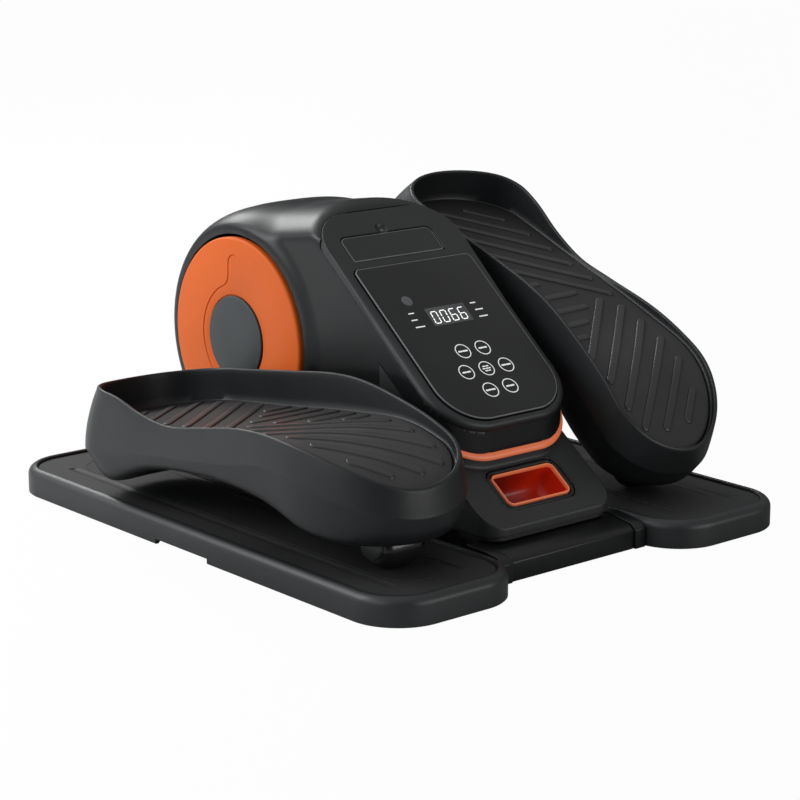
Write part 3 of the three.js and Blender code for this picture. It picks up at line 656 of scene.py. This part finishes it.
door_edge = inset_rect(DOOR_MID - DOOR_HALF, DOOR_MID + DOOR_HALF, DOOR_LOW, DOOR_HIGH, (1.5, 1.5, 5.5, 5.5))
edge_line("panel_edge", panel_outline, 0.0, "base")
edge_line("door_edge", door_edge, -BEZEL_DROP - 0.3, "door")

window_outline = inset_rect(-WINDOW[0], WINDOW[0], WINDOW[1], WINDOW[2], (0.8,) * 4, per=4)
mesh_piece("display_window", skin(window_outline, ((0, -0.4), (0, 0.03), (0.15, 0.06)), on_panel), "window",
           "base")


def bar(u0, v0, u1, v1, width, top=0.12, low=-0.2):
    """Thin raised bar with narrowed ends between two points of the panel's plane."""
    a, b = np.array((u0, v0)), np.array((u1, v1))
    d = (b - a) / np.linalg.norm(b - a)
    s = np.array((-d[1], d[0])) * width / 2
    e = d * (width * 0.18)
    points = [a + s, a + s * 0.6 - e, a - s * 0.6 - e, a - s, b - s, b - s * 0.6 + e, b + s * 0.6 + e, b + s]
    return stack([on_panel(plain(points, low)), on_panel(plain(points, top))])


SEGMENTS = {"a": ((0, 1), (1, 1)), "b": ((1, 1), (1, .5)), "c": ((1, .5), (1, 0)), "d": ((0, 0), (1, 0)),
            "e": ((0, .5), (0, 0)), "f": ((0, 1), (0, .5)), "g": ((0, .5), (1, .5))}
LIT = {"0": "abcdef", "6": "acdefg"}


def seven_segment(digit, cx, cy, w, h, lean=0.10):
    """Broken strokes of one display digit: each lit segment is two dashes."""
    parts = []
    for segment in LIT[digit]:
        (x0, y0), (x1, y1) = SEGMENTS[segment]
        for t0, t1 in ((0.12, 0.46), (0.56, 0.90)):
            q = [((x0 + (x1 - x0) * t) * w, (y0 + (y1 - y0) * t) * h) for t in (t0, t1)]
            q = [(cx - w / 2 + a + lean * b, cy - h / 2 + b) for a, b in q]
            parts.append(bar(*q[0], *q[1], 0.72, top=0.14, low=0.0))
    return parts


digits = []
for k, d in enumerate("0066"):
    digits += seven_segment(d, -13.4 + 8.7 * k - 0.6, 52.6, 5.2, 11.0)
mesh_piece("display_digits", joined(digits), "digit", "base")

MARKS = ((-35.2, 59.8, 5.0), (-36.4, 53.4, 5.4), (-36.8, 46.6, 8.6),
         (25.4, 60.2, 5.0), (26.2, 53.4, 7.2), (25.7, 46.7, 8.0))
KEY_RADIUS, KEY_LINE = 6.3, 0.72
KEYS = ((0.0, 0.0), (19.3, 0.0), (9.2, 18.7), (-10.2, 18.7), (-19.6, 0.0), (-9.2, -18.9), (10.2, -18.7))
MIDDLE_ROWS = ((2.1, ((-2.6, -0.5), (0.5, 2.8))), (0.0, ((-3.6, -1.2), (-0.4, 1.4), (2.0, 3.6))),
               (-2.1, ((-2.4, 0.2), (1.0, 2.6))))


def key_marks(index, u, v):
    """Printed ring of a touch key with plain bars in it: three rows in the middle key, one in the rest."""
    ring = []
    for way, height in ((-1, -0.2), (-1, 0.12), (1, 0.12), (1, -0.2)):
        radius = KEY_RADIUS + way * KEY_LINE / 2
        ring.append((radius, radius, height))
    verts, faces = on_console(u, v, ring, loop=True)
    parts = [(verts, flipped(faces))]
    if index == 0:
        for row, spans in MIDDLE_ROWS:
            parts += [bar(u + a, v + row, u + b, v + row, 1.05) for a, b in spans]
        return parts
    half = 4.3 if index % 2 else 3.7
    cut = 0.5 * (index % 3) - 0.5
    return parts + [bar(u + a, v, u + b, v, 1.35) for a, b in ((-half, cut - 0.35), (cut + 0.35, half))]


marks = [bar(u, v, u + w, v, 1.05) for u, v, w in MARKS]
for index, (u, v) in enumerate(KEYS):
    marks += key_marks(index, u, v)
mesh_piece("panel_print", joined(marks), "print", "base")

lens = [(r, r, height) for r, height in ((4.6, -0.4), (4.6, 0.02), (4.3, 0.14), (3.2, 0.2), (1.6, 0.24))]
mesh_piece("sensor_window", on_console(-28.8, 71.7, lens), "lens", "base")

# ---------- trim band ----------
band_outline = inset_rect(-BODY_HALF, BODY_HALF, POD_LOW, BAND_END, (42, 42, 1, 1), per=24)
profile = [(6, 0), (0, 0), (-0.7, 0.3), (-1.1, 1.0), (-1.1, BAND_THICK - 1.2), (-0.6, BAND_THICK - 0.4),
           (0.2, BAND_THICK), (6, BAND_THICK)]
rings = []
for inset, height in profile:
    level = BAND_LOW + height
    fall = (level + BEZEL_DROP + BEZEL_THICK) * math.tan(PANEL_SLOPE)
    outline = [(x, v + (fall if v < BAND_END - 8 else 0)) for x, v in band_outline(inset)]
    rings.append(on_panel(plain(outline, level)))
mesh_piece("trim_band_form", stack(rings, loop=True), "band", "base",
           ("console_trim_band",), sharp=40)

# ---------- pedestal with the carry handle ----------
SLOT_HALF, SLOT_LOW, SLOT_HIGH = 28.0, 24.0, 47.6
LOOP_STEPS = 8                    # points round each corner of the handle's frame


def slot_box(grow):
    """Corners of the handle slot, grown by some amount."""
    return -SLOT_HALF - grow, SLOT_HALF + grow, SLOT_LOW - grow, SLOT_HIGH + grow


def slot_distance(x, v, grow, corner):
    return sd_rect(x, v, *slot_box(grow), (corner,) * 4)


def slot_outline(grow, corner):
    return inset_rect(*slot_box(grow), (corner,) * 4, LOOP_STEPS)


def pedestal_field(p):
    x, y, z = p.T
    v, n = slope_axes(y, z, *PEDESTAL)
    front = LIP_Y + LIP_BACK
    plan = sd_rect(x, y, -62, 62, front, -30, (17, 17, 1, 1))
    f = smax(plan, n, 0.7)
    f = smax(f, y + 64.1, 0.2)
    panel_v, panel_n = slope_axes(y, z, *PANEL)
    upright = upright_v(y, panel_v, panel_n)
    flare = np.interp(y, (-100, -70), (3.2, 0.8))
    neck = sd_rect(x, upright, -BODY_HALF + flare, BODY_HALF - flare, POD_LOW + 3.2, 200, (39, 39, 1, 1))
    f = smin(f, meet(neck, panel_n - BAND_LOW + 0.3, -n - 6, y + 64.3), 1.6)
    lower = smax(f, 26.2 - z, 1.2)
    foot = sd_rect(x, y, -59, 59, front + 3, -30, (14, 14, 1, 1))
    f = np.minimum(lower, meet(foot, z - 28, y + 64.3))
    f = smax(f, -np.where(y < -166, z - 22.9, z - 8.6), 1.0)
    inner = sd_rect(x, y, -56, 56, front + 6, -30, (13, 13, 1, 1))
    f = meet(f, -meet(inner, n + 3.2, y + 67.3))
    lip = meet(slot_distance(x, v, 8.6, 11.2), -slot_distance(x, v, 6.6, 9.2), np.abs(n) - 0.5)
    f = smin(f, lip, 0.6)
    f = smax(f, -meet(slot_distance(x, v, 7.0, 9.6), -(n + 2.5)), 1.2)
    f = meet(f, -slot_distance(x, v, 3.3, 6.0) + np.where(n < -30, 1e3, 0))
    band = sd_rect(x, upright, -BODY_HALF - 1.6, BODY_HALF + 1.6, POD_LOW - 1.6, 200, (44, 44, 2, 2))
    return meet(f, -meet(band, BAND_LOW - 0.3 - panel_n))


surface("pedestal_form", pedestal_field, (-65, -190, 5), (65, -60, 146), 1.1, "pedestal", "base",
        ("pedestal_cover",), sharp=28)

rim_profile = ((0.3, -3), (0.3, -0.2), (0.5, 0.3), (0.85, 0.6), (1.4, 0.6), (1.75, 0.2), (1.95, -0.6),
               (1.95, -3))
rim = skin(slot_outline(3, 5.7), rim_profile, on_pedestal, loop=True)
mesh_piece("handle_rim_form", rim, "rim", "base", ("handle_rim",), sharp=40)
# near-black bead filling the trough round the handle frame: painted shade of the trough
trough_shade_profile = ((0.1, -2.3), (0.1, -0.5), (0.5, 0.05), (1.2, 0.35), (2.3, 0.35), (3.0, 0.0), (3.35, -0.6),
                (3.35, -2.3))
trough_shade = skin(slot_outline(6.9, 9.2), trough_shade_profile, on_pedestal, loop=True)
mesh_piece("handle_trough_shade", trough_shade, "trough_shade", "base", sharp=40)
well_profile = [(2.5, -22.5), (0, -20), (0, -2.2), (1.2, -2.2)]
for a in np.linspace(0, math.pi / 2, 12):
    well_profile.append((1.2 + 8.6 * (1 - math.cos(a)), -8 - 13 * math.sin(a)))
well = skin(slot_outline(2, 5), well_profile, on_pedestal)
mesh_piece("handle_well_form", well, "well", "base", ("handle_well",), sharp=40)

# ---------- crank discs ----------
GROOVE = ((-1.5, 65.0), (1.6, 65.6), (5.2, 64.6), (7.8, 62.2), (8.7, 59.0), (8.8, 54.0), (8.9, 49.0),
          (9.8, 44.8), (12.4, 41.3), (17.0, 38.6), (22.0, 36.4))
ARC_RADIUS, ARC_FROM, ARC_TO, ARC_STEP = 42.4, 54.0, -75.0, -4.0
GROOVE_WIDTH, GROOVE_DEPTH = 0.75, 0.9


def groove_path():
    """The line drawn in the disc's face, from its edge round the hub."""
    arc = [(ARC_RADIUS * math.cos(a), ARC_RADIUS * math.sin(a))
           for a in map(math.radians, np.arange(ARC_FROM, ARC_TO, ARC_STEP))]
    return np.array(list(GROOVE) + arc)


def disc_part():
    prof = [(DISC_FACE - 6, 0.01), (DISC_FACE - 6, DISC_RADIUS - 0.6), (DISC_FACE - 5.4, DISC_RADIUS)]
    prof += [(DISC_FACE - d, DISC_RADIUS - i) for i, d in edge_round(2.2, 6)]
    prof += [(DISC_FACE, HUB_RADIUS + 1.7), (DISC_FACE - 0.3, HUB_RADIUS + 1.1),
             (DISC_FACE - 1.5, HUB_RADIUS + 0.9), (DISC_FACE - 1.5, 0.01)]
    return turned(prof, 180)


def cap_part():
    prof = [(DISC_FACE - 1.2, 0.01), (DISC_FACE - 1.2, HUB_RADIUS)]
    prof += [(DISC_FACE + 1 - d, HUB_RADIUS - i) for i, d in edge_round(0.9, 4)]
    prof += [(DISC_FACE + 0.9, HUB_RADIUS * 0.5), (DISC_FACE + 0.85, 0.01)]
    return turned(prof)


def groove_part(path):
    """Swept V-shaped channel standing through the disc's face."""
    d = np.gradient(path, axis=0)
    d /= np.linalg.norm(d, axis=1, keepdims=True)
    wide, narrow = GROOVE_WIDTH * 1.6, GROOVE_WIDTH * 0.35
    section = ((-wide, 0.9), (-narrow, -GROOVE_DEPTH), (narrow, -GROOVE_DEPTH), (wide, 0.9))
    return stack([[(DISC_FACE + h, CRANK_Y + y - dz * w, CRANK_Z + z + dy * w) for w, h in section]
                  for (y, z), (dy, dz) in zip(path, d)])


for name, side in SIDES:
    path = -side * groove_path()           # the crank arms stand half a turn apart
    closed_piece(f"{name}_disc_form", for_side(disc_part(), side), "orange", "crank",
                 (f"{name}_crank_disc",), sharp=28, cut=for_side(groove_part(path), side))
    closed_piece(f"{name}_cap_form", for_side(cap_part(), side), "hub", "crank",
                 (f"{name}_hub_cap",))


# ---------- pedals ----------
rim_outer = smooth_curve([(-47, 40), (-17, 60), (15, 74.5), (50, 81.5), (86, 83.5), (137, 79.5), (171, 77.5),
                          (204, 83.5), (236, 94), (270, 98.5), (295, 96.5)])
rim_inner = smooth_curve([(-47, 42), (-17, 62.5), (15, 79), (50, 91), (86, 100), (120, 103), (171, 101),
                          (236, 98), (295, 96)])
crease_at = smooth_curve([(-47, 22), (-33, 29), (-8, 40), (46, 59), (107, 56), (197, 54), (281, 51),
                          (310, 50)])
sole_at = smooth_curve([(-47, 5), (-8, 7.2), (14, 11), (35, 17), (57, 26.5), (79, 33.5), (114, 39.5),
                        (150, 42), (187, 42), (213, 39), (240, 32.5), (274, 22.5), (310, 22.5)])
bed_at = smooth_curve([(-47, 35), (-17, 54.5), (0, 63.5), (23, 72), (48, 76.6), (85, 77.2), (120, 76.8),
                       (171, 74.8), (236, 73.5), (295, 71)])
RING = 160                       # points round each ring of a pedal


def end_round(y, heel, toe, outer):
    """Share of the full width near the pedal's rounded ends."""
    def one(distance, radius):
        return np.where(distance >= radius, 1.0, np.sqrt(np.maximum(0, 1 - (1 - distance / radius) ** 2)))
    return one(y - heel, np.where(outer, 80.0, 40.0)) * one(toe - y, 45.0)


def ring_xy(inset, bulge=0.0):
    """Pedal outline moved in by inset; bulge pushes the toe out."""
    k = np.arange(RING)
    outer = k <= RING // 2
    step = np.where(outer, k, RING - k)
    heel, toe = PEDAL_HEEL + inset, PEDAL_TOE - inset + bulge
    y = heel + (toe - heel) * (1 - np.cos(step / (RING / 2) * np.pi)) / 2
    half = np.where(outer, PEDAL_OUTER, PEDAL_INNER) - inset + bulge * 0.12
    return np.where(outer, 1, -1) * half * end_round(y, heel, toe, outer), y


def rim_at(y, x):
    """Height of the rim, blended from the inner side to the outer."""
    t = np.clip((x + PEDAL_INNER * 0.6) / (0.6 * (PEDAL_INNER + PEDAL_OUTER)), 0, 1)
    mix = t * t * (3 - 2 * t)
    return rim_inner(y) * (1 - mix) + rim_outer(y) * mix


def pedal_ring(inset, height, bulge=0.0):
    x, y = ring_xy(inset, bulge)
    return np.column_stack([x, y, height(y, x)])


def spline_rings(rings, per):
    """More rings between the given ones, on smooth curves through matching points."""
    rings = np.array(rings)
    out = []
    for i in range(len(rings) - 1):
        p0, p1, p2, p3 = rings[max(i - 1, 0)], rings[i], rings[i + 1], rings[min(i + 2, len(rings) - 1)]
        for k in range(per):
            t = k / per
            out.append(0.5 * (2 * p1 + (p2 - p0) * t + (2 * p0 - 5 * p1 + 4 * p2 - p3) * t ** 2
                              + (3 * p1 - p0 - 3 * p2 + p3) * t ** 3))
    out.append(rings[-1])
    return out


LEDGE = 5.6                      # inset of the ledge that the pad sits in
LIP_ROUND = 1.6                  # height of the rim's rounded top
TOE_BULGE = 18.0                 # how far the crease stands out past the rim at the toe


UNDER = ((24, 0, 0.4, 2), (14, 0, 0, 4), (8.5, 0.07, 0.5, 8), (4.6, 0.34, 0, 12), (2.0, 0.68, 0, 14.4),
         (0.3, 0.96, 0, TOE_BULGE - 0.3))     # inset, share of the way to the crease, height added, bulge


def pedal_shell_part():
    """Rings from the sole up the outside, over the rim and down to the ledge of the pad."""
    def between(y, share):
        return sole_at(y) + (crease_at(y) - sole_at(y)) * share

    def top(y, x):
        return rim_at(y, x) - LIP_ROUND

    def seat(y, x, above_bed, below_rim):
        return np.minimum(bed_at(y) + above_bed, rim_at(y, x) - below_rim)

    rings = spline_rings([pedal_ring(inset, lambda y, x: between(y, share) + extra, bulge)
                          for inset, share, extra, bulge in UNDER], 4)
    rings += [pedal_ring(0.0, lambda y, x: between(y, 1.0), TOE_BULGE),
              pedal_ring(0.0, lambda y, x: crease_at(y) + 0.9, TOE_BULGE)]
    for t in (0.06, 0.2, 0.4, 0.6, 0.8, 0.93):
        rings.append(pedal_ring(0.9 * t ** 1.3, lambda y, x: crease_at(y) + (top(y, x) - crease_at(y)) * t,
                                TOE_BULGE * (1 - t ** 1.7)))
    for a in (k / 8 * math.pi for k in range(9)):
        rings.append(pedal_ring(0.9 + 1.35 * (1 - math.cos(a)),
                                lambda y, x: top(y, x) + LIP_ROUND * math.sin(a)))
    for t in (0.15, 0.35, 0.6, 0.8):
        rings.append(pedal_ring(3.6 + 0.3 * t,
                                lambda y, x: top(y, x) + (seat(y, x, 1.2, 2.0) - top(y, x)) * t))
    for inset, above_bed, below_rim in ((4.1, 0.2, 2.6), (4.6, -0.45, 3.2), (LEDGE - 0.2, -0.6, 3.4)):
        rings.append(pedal_ring(inset, lambda y, x: seat(y, x, above_bed, below_rim)))
    rings += [pedal_ring(LEDGE, lambda y, x: bed_at(y) - 1.6),
              pedal_ring(LEDGE + 0.1, lambda y, x: np.maximum(bed_at(y) - 6, sole_at(y) + 6))]
    return rings + [pedal_ring(inset, lambda y, x: sole_at(y) + up) for inset, up in ((9, 9), (20, 4))]


def capped(rings):
    """Skin over pedal rings, with both ends closed in strips across the pedal."""
    n = len(rings[0])
    verts, faces = stack(rings, caps=False)
    top = (len(rings) - 1) * n
    for k in range(n // 2):
        a, b, c, d = k, k + 1, n - k - 1, (n - k) % n
        for quad in ((a, d, c, b), (top + a, top + b, top + c, top + d)):
            clean = [q for i, q in enumerate(quad) if q not in quad[:i]]
            if len(clean) > 2:
                faces.append(tuple(clean))
    return verts, faces


def footbed_part():
    """Pad top as a fine sheet with a rolled edge."""
    edge = LEDGE + 0.5
    rings = [pedal_ring(edge + 2, lambda y, x: bed_at(y) - 4), pedal_ring(edge, lambda y, x: bed_at(y) - 3)]
    for i, d in edge_round(0.8, 4):
        rings.append(pedal_ring(edge + i, lambda y, x: bed_at(y) - d + crown(x)))
    x, y = ring_xy(edge + 0.8)
    for t in (0.97, 0.9, 0.78, 0.62, 0.45, 0.28, 0.12):
        rings.append(np.column_stack([x * t, y, bed_at(y) + crown(x * t)]))
    return capped(rings)


def crown(x):
    """Slight dish across the pad."""
    return 0.5 * (np.abs(x) / 58) ** 2 - 0.5


def rib_part(a, b, width=6.6, high=1.25, steps=26):
    """Raised bar with round ends, lying on the pad between two points."""
    a, b = np.array(a, float), np.array(b, float)
    length = np.linalg.norm(b - a)
    d = (b - a) / length
    s = np.array((-d[1], d[0]))
    half = width / 2
    section = [(1.0, -1.2), (1.0, 0.0), (0.95, 0.42), (0.84, 0.8), (0.68, 0.97), (0.35, 1.0), (0.0, 1.0)]
    section += [(-across, up) for across, up in reversed(section[:-1])]
    rings = []
    for k in range(steps + 1):
        t = -half + (length + width) * (0.5 - 0.5 * math.cos(math.pi * k / steps))
        over = max(-t, t - length, 0.0) / half
        reach = max(half * math.sqrt(max(1 - over ** 2, 0.0)), 0.02)
        fade = min(1.0, reach / half * 1.6)
        ring = []
        for across, up in section:
            x, y = a + d * t + s * reach * across
            ring.append((x, y, float(bed_at(y) + crown(x)) + high * (up if up < 0 else up * fade)))
        rings.append(ring)
    return stack(rings)


RIBS = (((47, 120), (-42, 199)), ((47.5, 144.5), (-42, 223.5)), ((47.5, 169), (-39, 246)),
        ((47, 194), (-31, 263)), ((45, 219.5), (-8, 266.5)), ((40, 246), (17, 266.5)),
        ((31, 113.5), (-39, 46.5)), ((42.5, 100), (-39, 22)), ((43.5, 77.5), (-38, -1.0)),
        ((42.5, 53), (-31, -17)), ((40.5, 28.5), (-10, -20.5)), ((32.5, 0), (14.5, -18)),
        ((-25, 168), (-43, 167)), ((-7, 149), (-43, 147)), ((16, 129), (-42, 127)), ((10, 109), (-41, 107)),
        ((-6, 90), (-41, 88)), ((-23, 72), (-40, 71)))


def pedal_place(angle):
    """Place of the heel axle along the machine, and the pedal's tilt, for a crank angle."""
    a = math.radians(angle)
    y, z = CRANK_Y + CRANK_RADIUS * math.cos(a), CRANK_Z + CRANK_RADIUS * math.sin(a)
    rod = math.hypot(SPINDLE_REACH, SPINDLE_RISE)
    lift = math.asin((z - ROLLER_Z) / rod)
    return y - rod * math.cos(lift), lift - math.atan2(SPINDLE_RISE, SPINDLE_REACH)


def roller_part():
    """Barrel-shaped roller round its axle."""
    prof = [(-18.4, 4.3), (-18.4, 8.0)]
    for a in np.linspace(0.15, math.pi / 2, 12):
        prof.append((-18.4 + 14.0 * (1 - math.cos(a)), 8.0 + 7.0 * math.sin(a)))
    prof += [(-x, r) for x, r in reversed(prof)]
    return turned(prof, 72, (0.0, 0.0), loop=True)


def fork_cheek(way):
    """Rounded cheek that holds one end of the roller's axle."""
    shape = [(-10.5, 14), (-10.5, 1)]
    shape += [(-10.5 * math.cos(a), 1 - 7.5 * math.sin(a)) for a in np.linspace(0.15, math.pi - 0.15, 17)]
    shape += [(10.5, 1), (10.5, 14)]
    rings = []
    for x, shrink in ((18.9, 0.0), (20.6, 0.0), (21.2, 0.25), (21.5, 0.9)):
        rings.append([(way * x, y * (1 - shrink / 10.5), 14 - (14 - z) * (1 - shrink / 20))
                      for y, z in shape])
    return stack(rings)


for index, (name, side) in enumerate(SIDES):
    y0, tilt = pedal_place(CRANK_ANGLE + 180 * index)
    tilt += side * math.radians(1.1)

    def put(part):
        verts, faces = part
        points = on_slope(verts, tilt, y0, ROLLER_Z)
        return for_side(([(x + PEDAL_X, y, z) for x, y, z in points], faces), side)

    def pedal_piece(label, part, material, node="", sharp=40.0, on="pedal", cut=None):
        closed_piece(f"{name}_{label}", put(part), material, f"{name}_{on}",
                     (f"{name}_{node}",) if node else (), sharp, cut)

    opening = put(box_part((-20, 20), (-17.2, 17.2), (-10, 26.5)))
    ribs = joined([rib_part(a, b) for a, b in RIBS])
    forks = joined([fork_cheek(-1), fork_cheek(1)])
    shell = capped(pedal_shell_part())
    pedal_piece("shell_form", shell, "pedal", "pedal_shell", cut=opening)
    pedal_piece("pad", footbed_part(), "footbed", "pedal_footbed")
    pedal_piece("pad_ribs", ribs, "rib", sharp=60)
    pedal_piece("roller_form", roller_part(), "roller", "heel_roller", on="roller")
    pedal_piece("fork_form", forks, "fork", "roller_bracket", sharp=35)


# ---------- base plates and tracks ----------
plate_outline = inset_rect(PLATE_INNER, HALF_WIDTH, -LENGTH / 2, LENGTH / 2, (PLATE_CORNER,) * 4, 16)
EDGE_ROUND = ((0.15, 5.4), (0.6, 4.0), (1.4, 2.7), (2.5, 1.5), (3.8, 0.6), (5.2, 0.12), (6.2, 0.0),
              (6.9, 0.1), (7.5, 0.5), (7.9, 1.2))
plate_profile = [(7.5, 6.0), (3.0, 1.0), (0.6, 1.0), (0.0, 1.6), (0.0, 15.2)]
plate_profile += [(inset, PLATE_TOP - drop) for inset, drop in EDGE_ROUND]
plate_profile += [(8.0, 19.4), (8.0, 17.3), (20, 17.3), (20, 14), (7.5, 13.0)]


def track_field(p):
    """Track insert with two long grooves and a low oval ridge."""
    x, y, z = p.T
    half = LENGTH / 2 - 8.35
    f = sd_rect(x, y, PLATE_INNER + 8.35, HALF_WIDTH - 8.35, -half, half, (31,) * 4)
    f = smax(f, z - TRACK_TOP, 0.8)
    f = meet(f, 17.7 - z)
    for across in (166.0, 106.0):
        groove = np.hypot(x - across, np.maximum(np.maximum(-196 - y, y - 190), 0)) - 2.6
        f = smax(f, -meet(groove, TRACK_TOP - 0.9 - z), 1.2)
    inner = np.hypot(x - 136, np.maximum(np.abs(y) - 178, 0)) - 22.5
    return np.minimum(f, meet(np.abs(inner) - 0.8, z - TRACK_TOP - 0.22, 18.5 - z))


for name, side in SIDES:
    notch = for_side(box_part((HALF_WIDTH - 8, HALF_WIDTH + 1), (-31, 33), (0, 5)), side)
    plate = for_side(skin(plate_outline, plate_profile, loop=True), side)
    closed_piece(f"{name}_plate_form", plate, "plate", "base", (f"{name}_base_plate",),
                 sharp=38, cut=notch)
    surface(f"{name}_track_form", track_field, (78, -230, 16.5), (192, 230, 21.5), 1.1, "track", "base",
            (f"{name}_track",), sharp=40, side=side)

# ---------- CAD pieces whose edges are softened ----------
BOTH = ("left", "right")
SOFTENED = {f"{a}_{b}_{c}_foot": 0.9 for a in BOTH for b in ("front", "rear") for c in ("inner", "outer")}
SOFTENED |= {f"{a}_pedal_spindle": 0.9 for a in BOTH}
SOFTENED |= {"front_cross_bar": 1.2, "rear_cross_bar": 1.5, "left_bar_collar": 0.7, "right_bar_collar": 0.7,
             "power_inlet": 0.7, "power_rocker": 0.8, "motor": 0.8}
LOOK_OF_NODE = {"front_cross_bar": "body", "rear_cross_bar": "body", "left_bar_collar": "body",
                "right_bar_collar": "body", "power_inlet": "body", "motor": "motor",
                "left_pedal_spindle": "steel", "right_pedal_spindle": "steel"}
record = frame["record"]
slot_of = {part["node"]: part["material_slot"] for part in record["subparts"]}
body_of = {node: body for body, nodes in record["behaviour"]["bodies"].items() for node in nodes}


def soften(name, width):
    """Piece with the form of a CAD node and rounded edges."""
    mesh = frame["nodes"][name].data.copy()
    piece = bpy.data.objects.new(name + "_form", mesh)
    bpy.context.scene.collection.objects.link(piece)
    bm = bmesh.new()
    bm.from_mesh(mesh)
    bmesh.ops.remove_doubles(bm, verts=bm.verts, dist=1e-5)
    bmesh.ops.dissolve_limit(bm, angle_limit=math.radians(1), verts=bm.verts, edges=bm.edges)
    bm.to_mesh(mesh)
    bm.free()
    bevel = piece.modifiers.new("soft_edges", "BEVEL")
    bevel.width, bevel.segments = width * MM, 3
    bevel.limit_method, bevel.angle_limit = "ANGLE", math.radians(35)
    settle(piece)
    finish_piece(smoothed(piece, 35), LOOK_OF_NODE.get(name, "rubber"), body_of[name], (name,))


for name, width in SOFTENED.items():
    soften(name, width)

LOOK_OF_SLOT = {"body_plastic": "body", "motor_steel": "motor", "panel_gloss": "panel",
                "lens_plastic": "lens", "pedal_plastic": "pedal", "orange_plastic": "orange",
                "well_plastic": "well", "hub_plastic": "hub"}
for name, obj in frame["nodes"].items():
    obj.data.materials.clear()
    obj.data.materials.append(M[LOOK_OF_SLOT.get(slot_of[name], slot_of[name])])

# ---------- floor, camera and light ----------
FLOOR_WHITE = 0.97                # share of plain white in the floor as the camera sees it
FLOOR_SIZE = 30.0


def white_to_camera(tree, shaded, white_kind, output, share):
    """Shows a shader to every ray, apart from a share of plain white for the camera's."""
    white = node(tree, white_kind, Color=(1, 1, 1, 1))
    part = node(tree, "Math", operation="MULTIPLY")
    part.inputs[1].default_value = share
    tree.links.new(node(tree, "LightPath").outputs["Is Camera Ray"], part.inputs[0])
    blend = node(tree, "MixShader")
    tree.links.new(part.outputs["Value"], blend.inputs["Fac"])
    tree.links.new(shaded.outputs[0], blend.inputs[1])
    tree.links.new(white.outputs[0], blend.inputs[2])
    tree.links.new(blend.outputs["Shader"], tree.nodes[output].inputs["Surface"])


floor_mat = bpy.data.materials.new("floor_white")
floor_mat.use_nodes = True
nt = floor_mat.node_tree
floor_bsdf = nt.nodes["Principled BSDF"]
noise = node(nt, "TexNoise", Scale=3.0)
tone = ramp(nt, noise.outputs["Fac"], ((0.0, (0.90,) * 3), (1.0, (0.93,) * 3)))
nt.links.new(tone, floor_bsdf.inputs["Base Color"])
# painted shade: the floor's colour for light bouncing off it is darker towards the front right and lighter
# towards the back left; the camera still sees it white
graded(floor_mat, (-0.70, 0.71, 0.0), -0.35, 0.45, 0.22, 1.0)
floor_bsdf.inputs["Roughness"].default_value = 0.9
floor_bsdf.inputs["Specular IOR Level"].default_value = 0.1
white_to_camera(nt, floor_bsdf, "Emission", "Material Output", FLOOR_WHITE)
floor_mesh = bpy.data.meshes.new("floor")
corners = [(x * FLOOR_SIZE, y * FLOOR_SIZE, 0) for x, y in ((-1, -1), (1, -1), (1, 1), (-1, 1))]
floor_mesh.from_pydata(corners, [], [(0, 1, 2, 3)])
floor = bpy.data.objects.new("floor", floor_mesh)
floor_mesh.materials.append(floor_mat)
bpy.context.scene.collection.objects.link(floor)

CAMERA_AT = Vector((-1.14658, -1.35806, 0.51833))
AZIMUTH, ELEVATION = math.radians(-40.412), math.radians(13.714)
data = bpy.data.cameras.new("camera")
data.lens, data.sensor_width = 107.337, 36.0
camera = bpy.data.objects.new("camera", data)
bpy.context.scene.collection.objects.link(camera)
level = math.cos(ELEVATION)
look = Vector((-math.sin(AZIMUTH) * level, math.cos(AZIMUTH) * level, -math.sin(ELEVATION)))
camera.location = CAMERA_AT
camera.rotation_euler = look.to_track_quat("-Z", "Y").to_euler()
bpy.context.scene.camera = camera

world = bpy.data.worlds.new("studio")
world.use_nodes = True
nt = world.node_tree
sky = nt.nodes["Background"]
place = node(nt, "TexCoord").outputs["Generated"]
SIDE_TONES = ((0.05, (0.035, 0.036, 0.038)), (0.85, (0.62, 0.66, 0.68)))
TOP_TONES = ((0.35, (0, 0, 0)), (0.95, (0.40,) * 3))
side_light = ramp(nt, along(nt, place, (-0.74, 0.45, 0.50)), SIDE_TONES)
top_light = ramp(nt, along(nt, place, (0.40, -0.10, 0.91)), TOP_TONES)
total = node(nt, "VectorMath", operation="ADD")
nt.links.new(side_light, total.inputs[0])
nt.links.new(top_light, total.inputs[1])
nt.links.new(total.outputs["Vector"], sky.inputs["Color"])
white_to_camera(nt, sky, "Background", "World Output", 1.0)
bpy.context.scene.world = world
bpy.context.scene.view_settings.view_transform = "Standard"


def softbox(name, at, aim, size, power, color=(1, 1, 1)):
    """Rectangular light at a place, turned to a point."""
    light = bpy.data.lights.new(name, "AREA")
    light.shape, light.energy, light.color = "RECTANGLE", power, color
    light.size, light.size_y = size
    obj = bpy.data.objects.new(name, light)
    bpy.context.scene.collection.objects.link(obj)
    obj.location = at
    obj.rotation_euler = (Vector(aim) - Vector(at)).to_track_quat("-Z", "Y").to_euler()


softbox("left_rear_key", (-1.5, 1.1, 1.3), (0, 0, 0.1), (1.1, 1.1), 24)
softbox("back_strip", (0.22, 1.9, 1.35), (0, 0.05, 0.2), (1.1, 0.65), 18)
softbox("left_side", (-2.2, -0.3, 1.1), (0, 0, 0.1), (1.2, 1.0), 6.5, (0.93, 0.98, 1.0))
softbox("front_fill", (0.2, -2.2, 1.4), (0, 0, 0.1), (1.2, 0.8), 1.6)
softbox("front_low", (0.7, -2.1, 0.42), (0, -0.1, 0.08), (1.8, 0.6), 13)
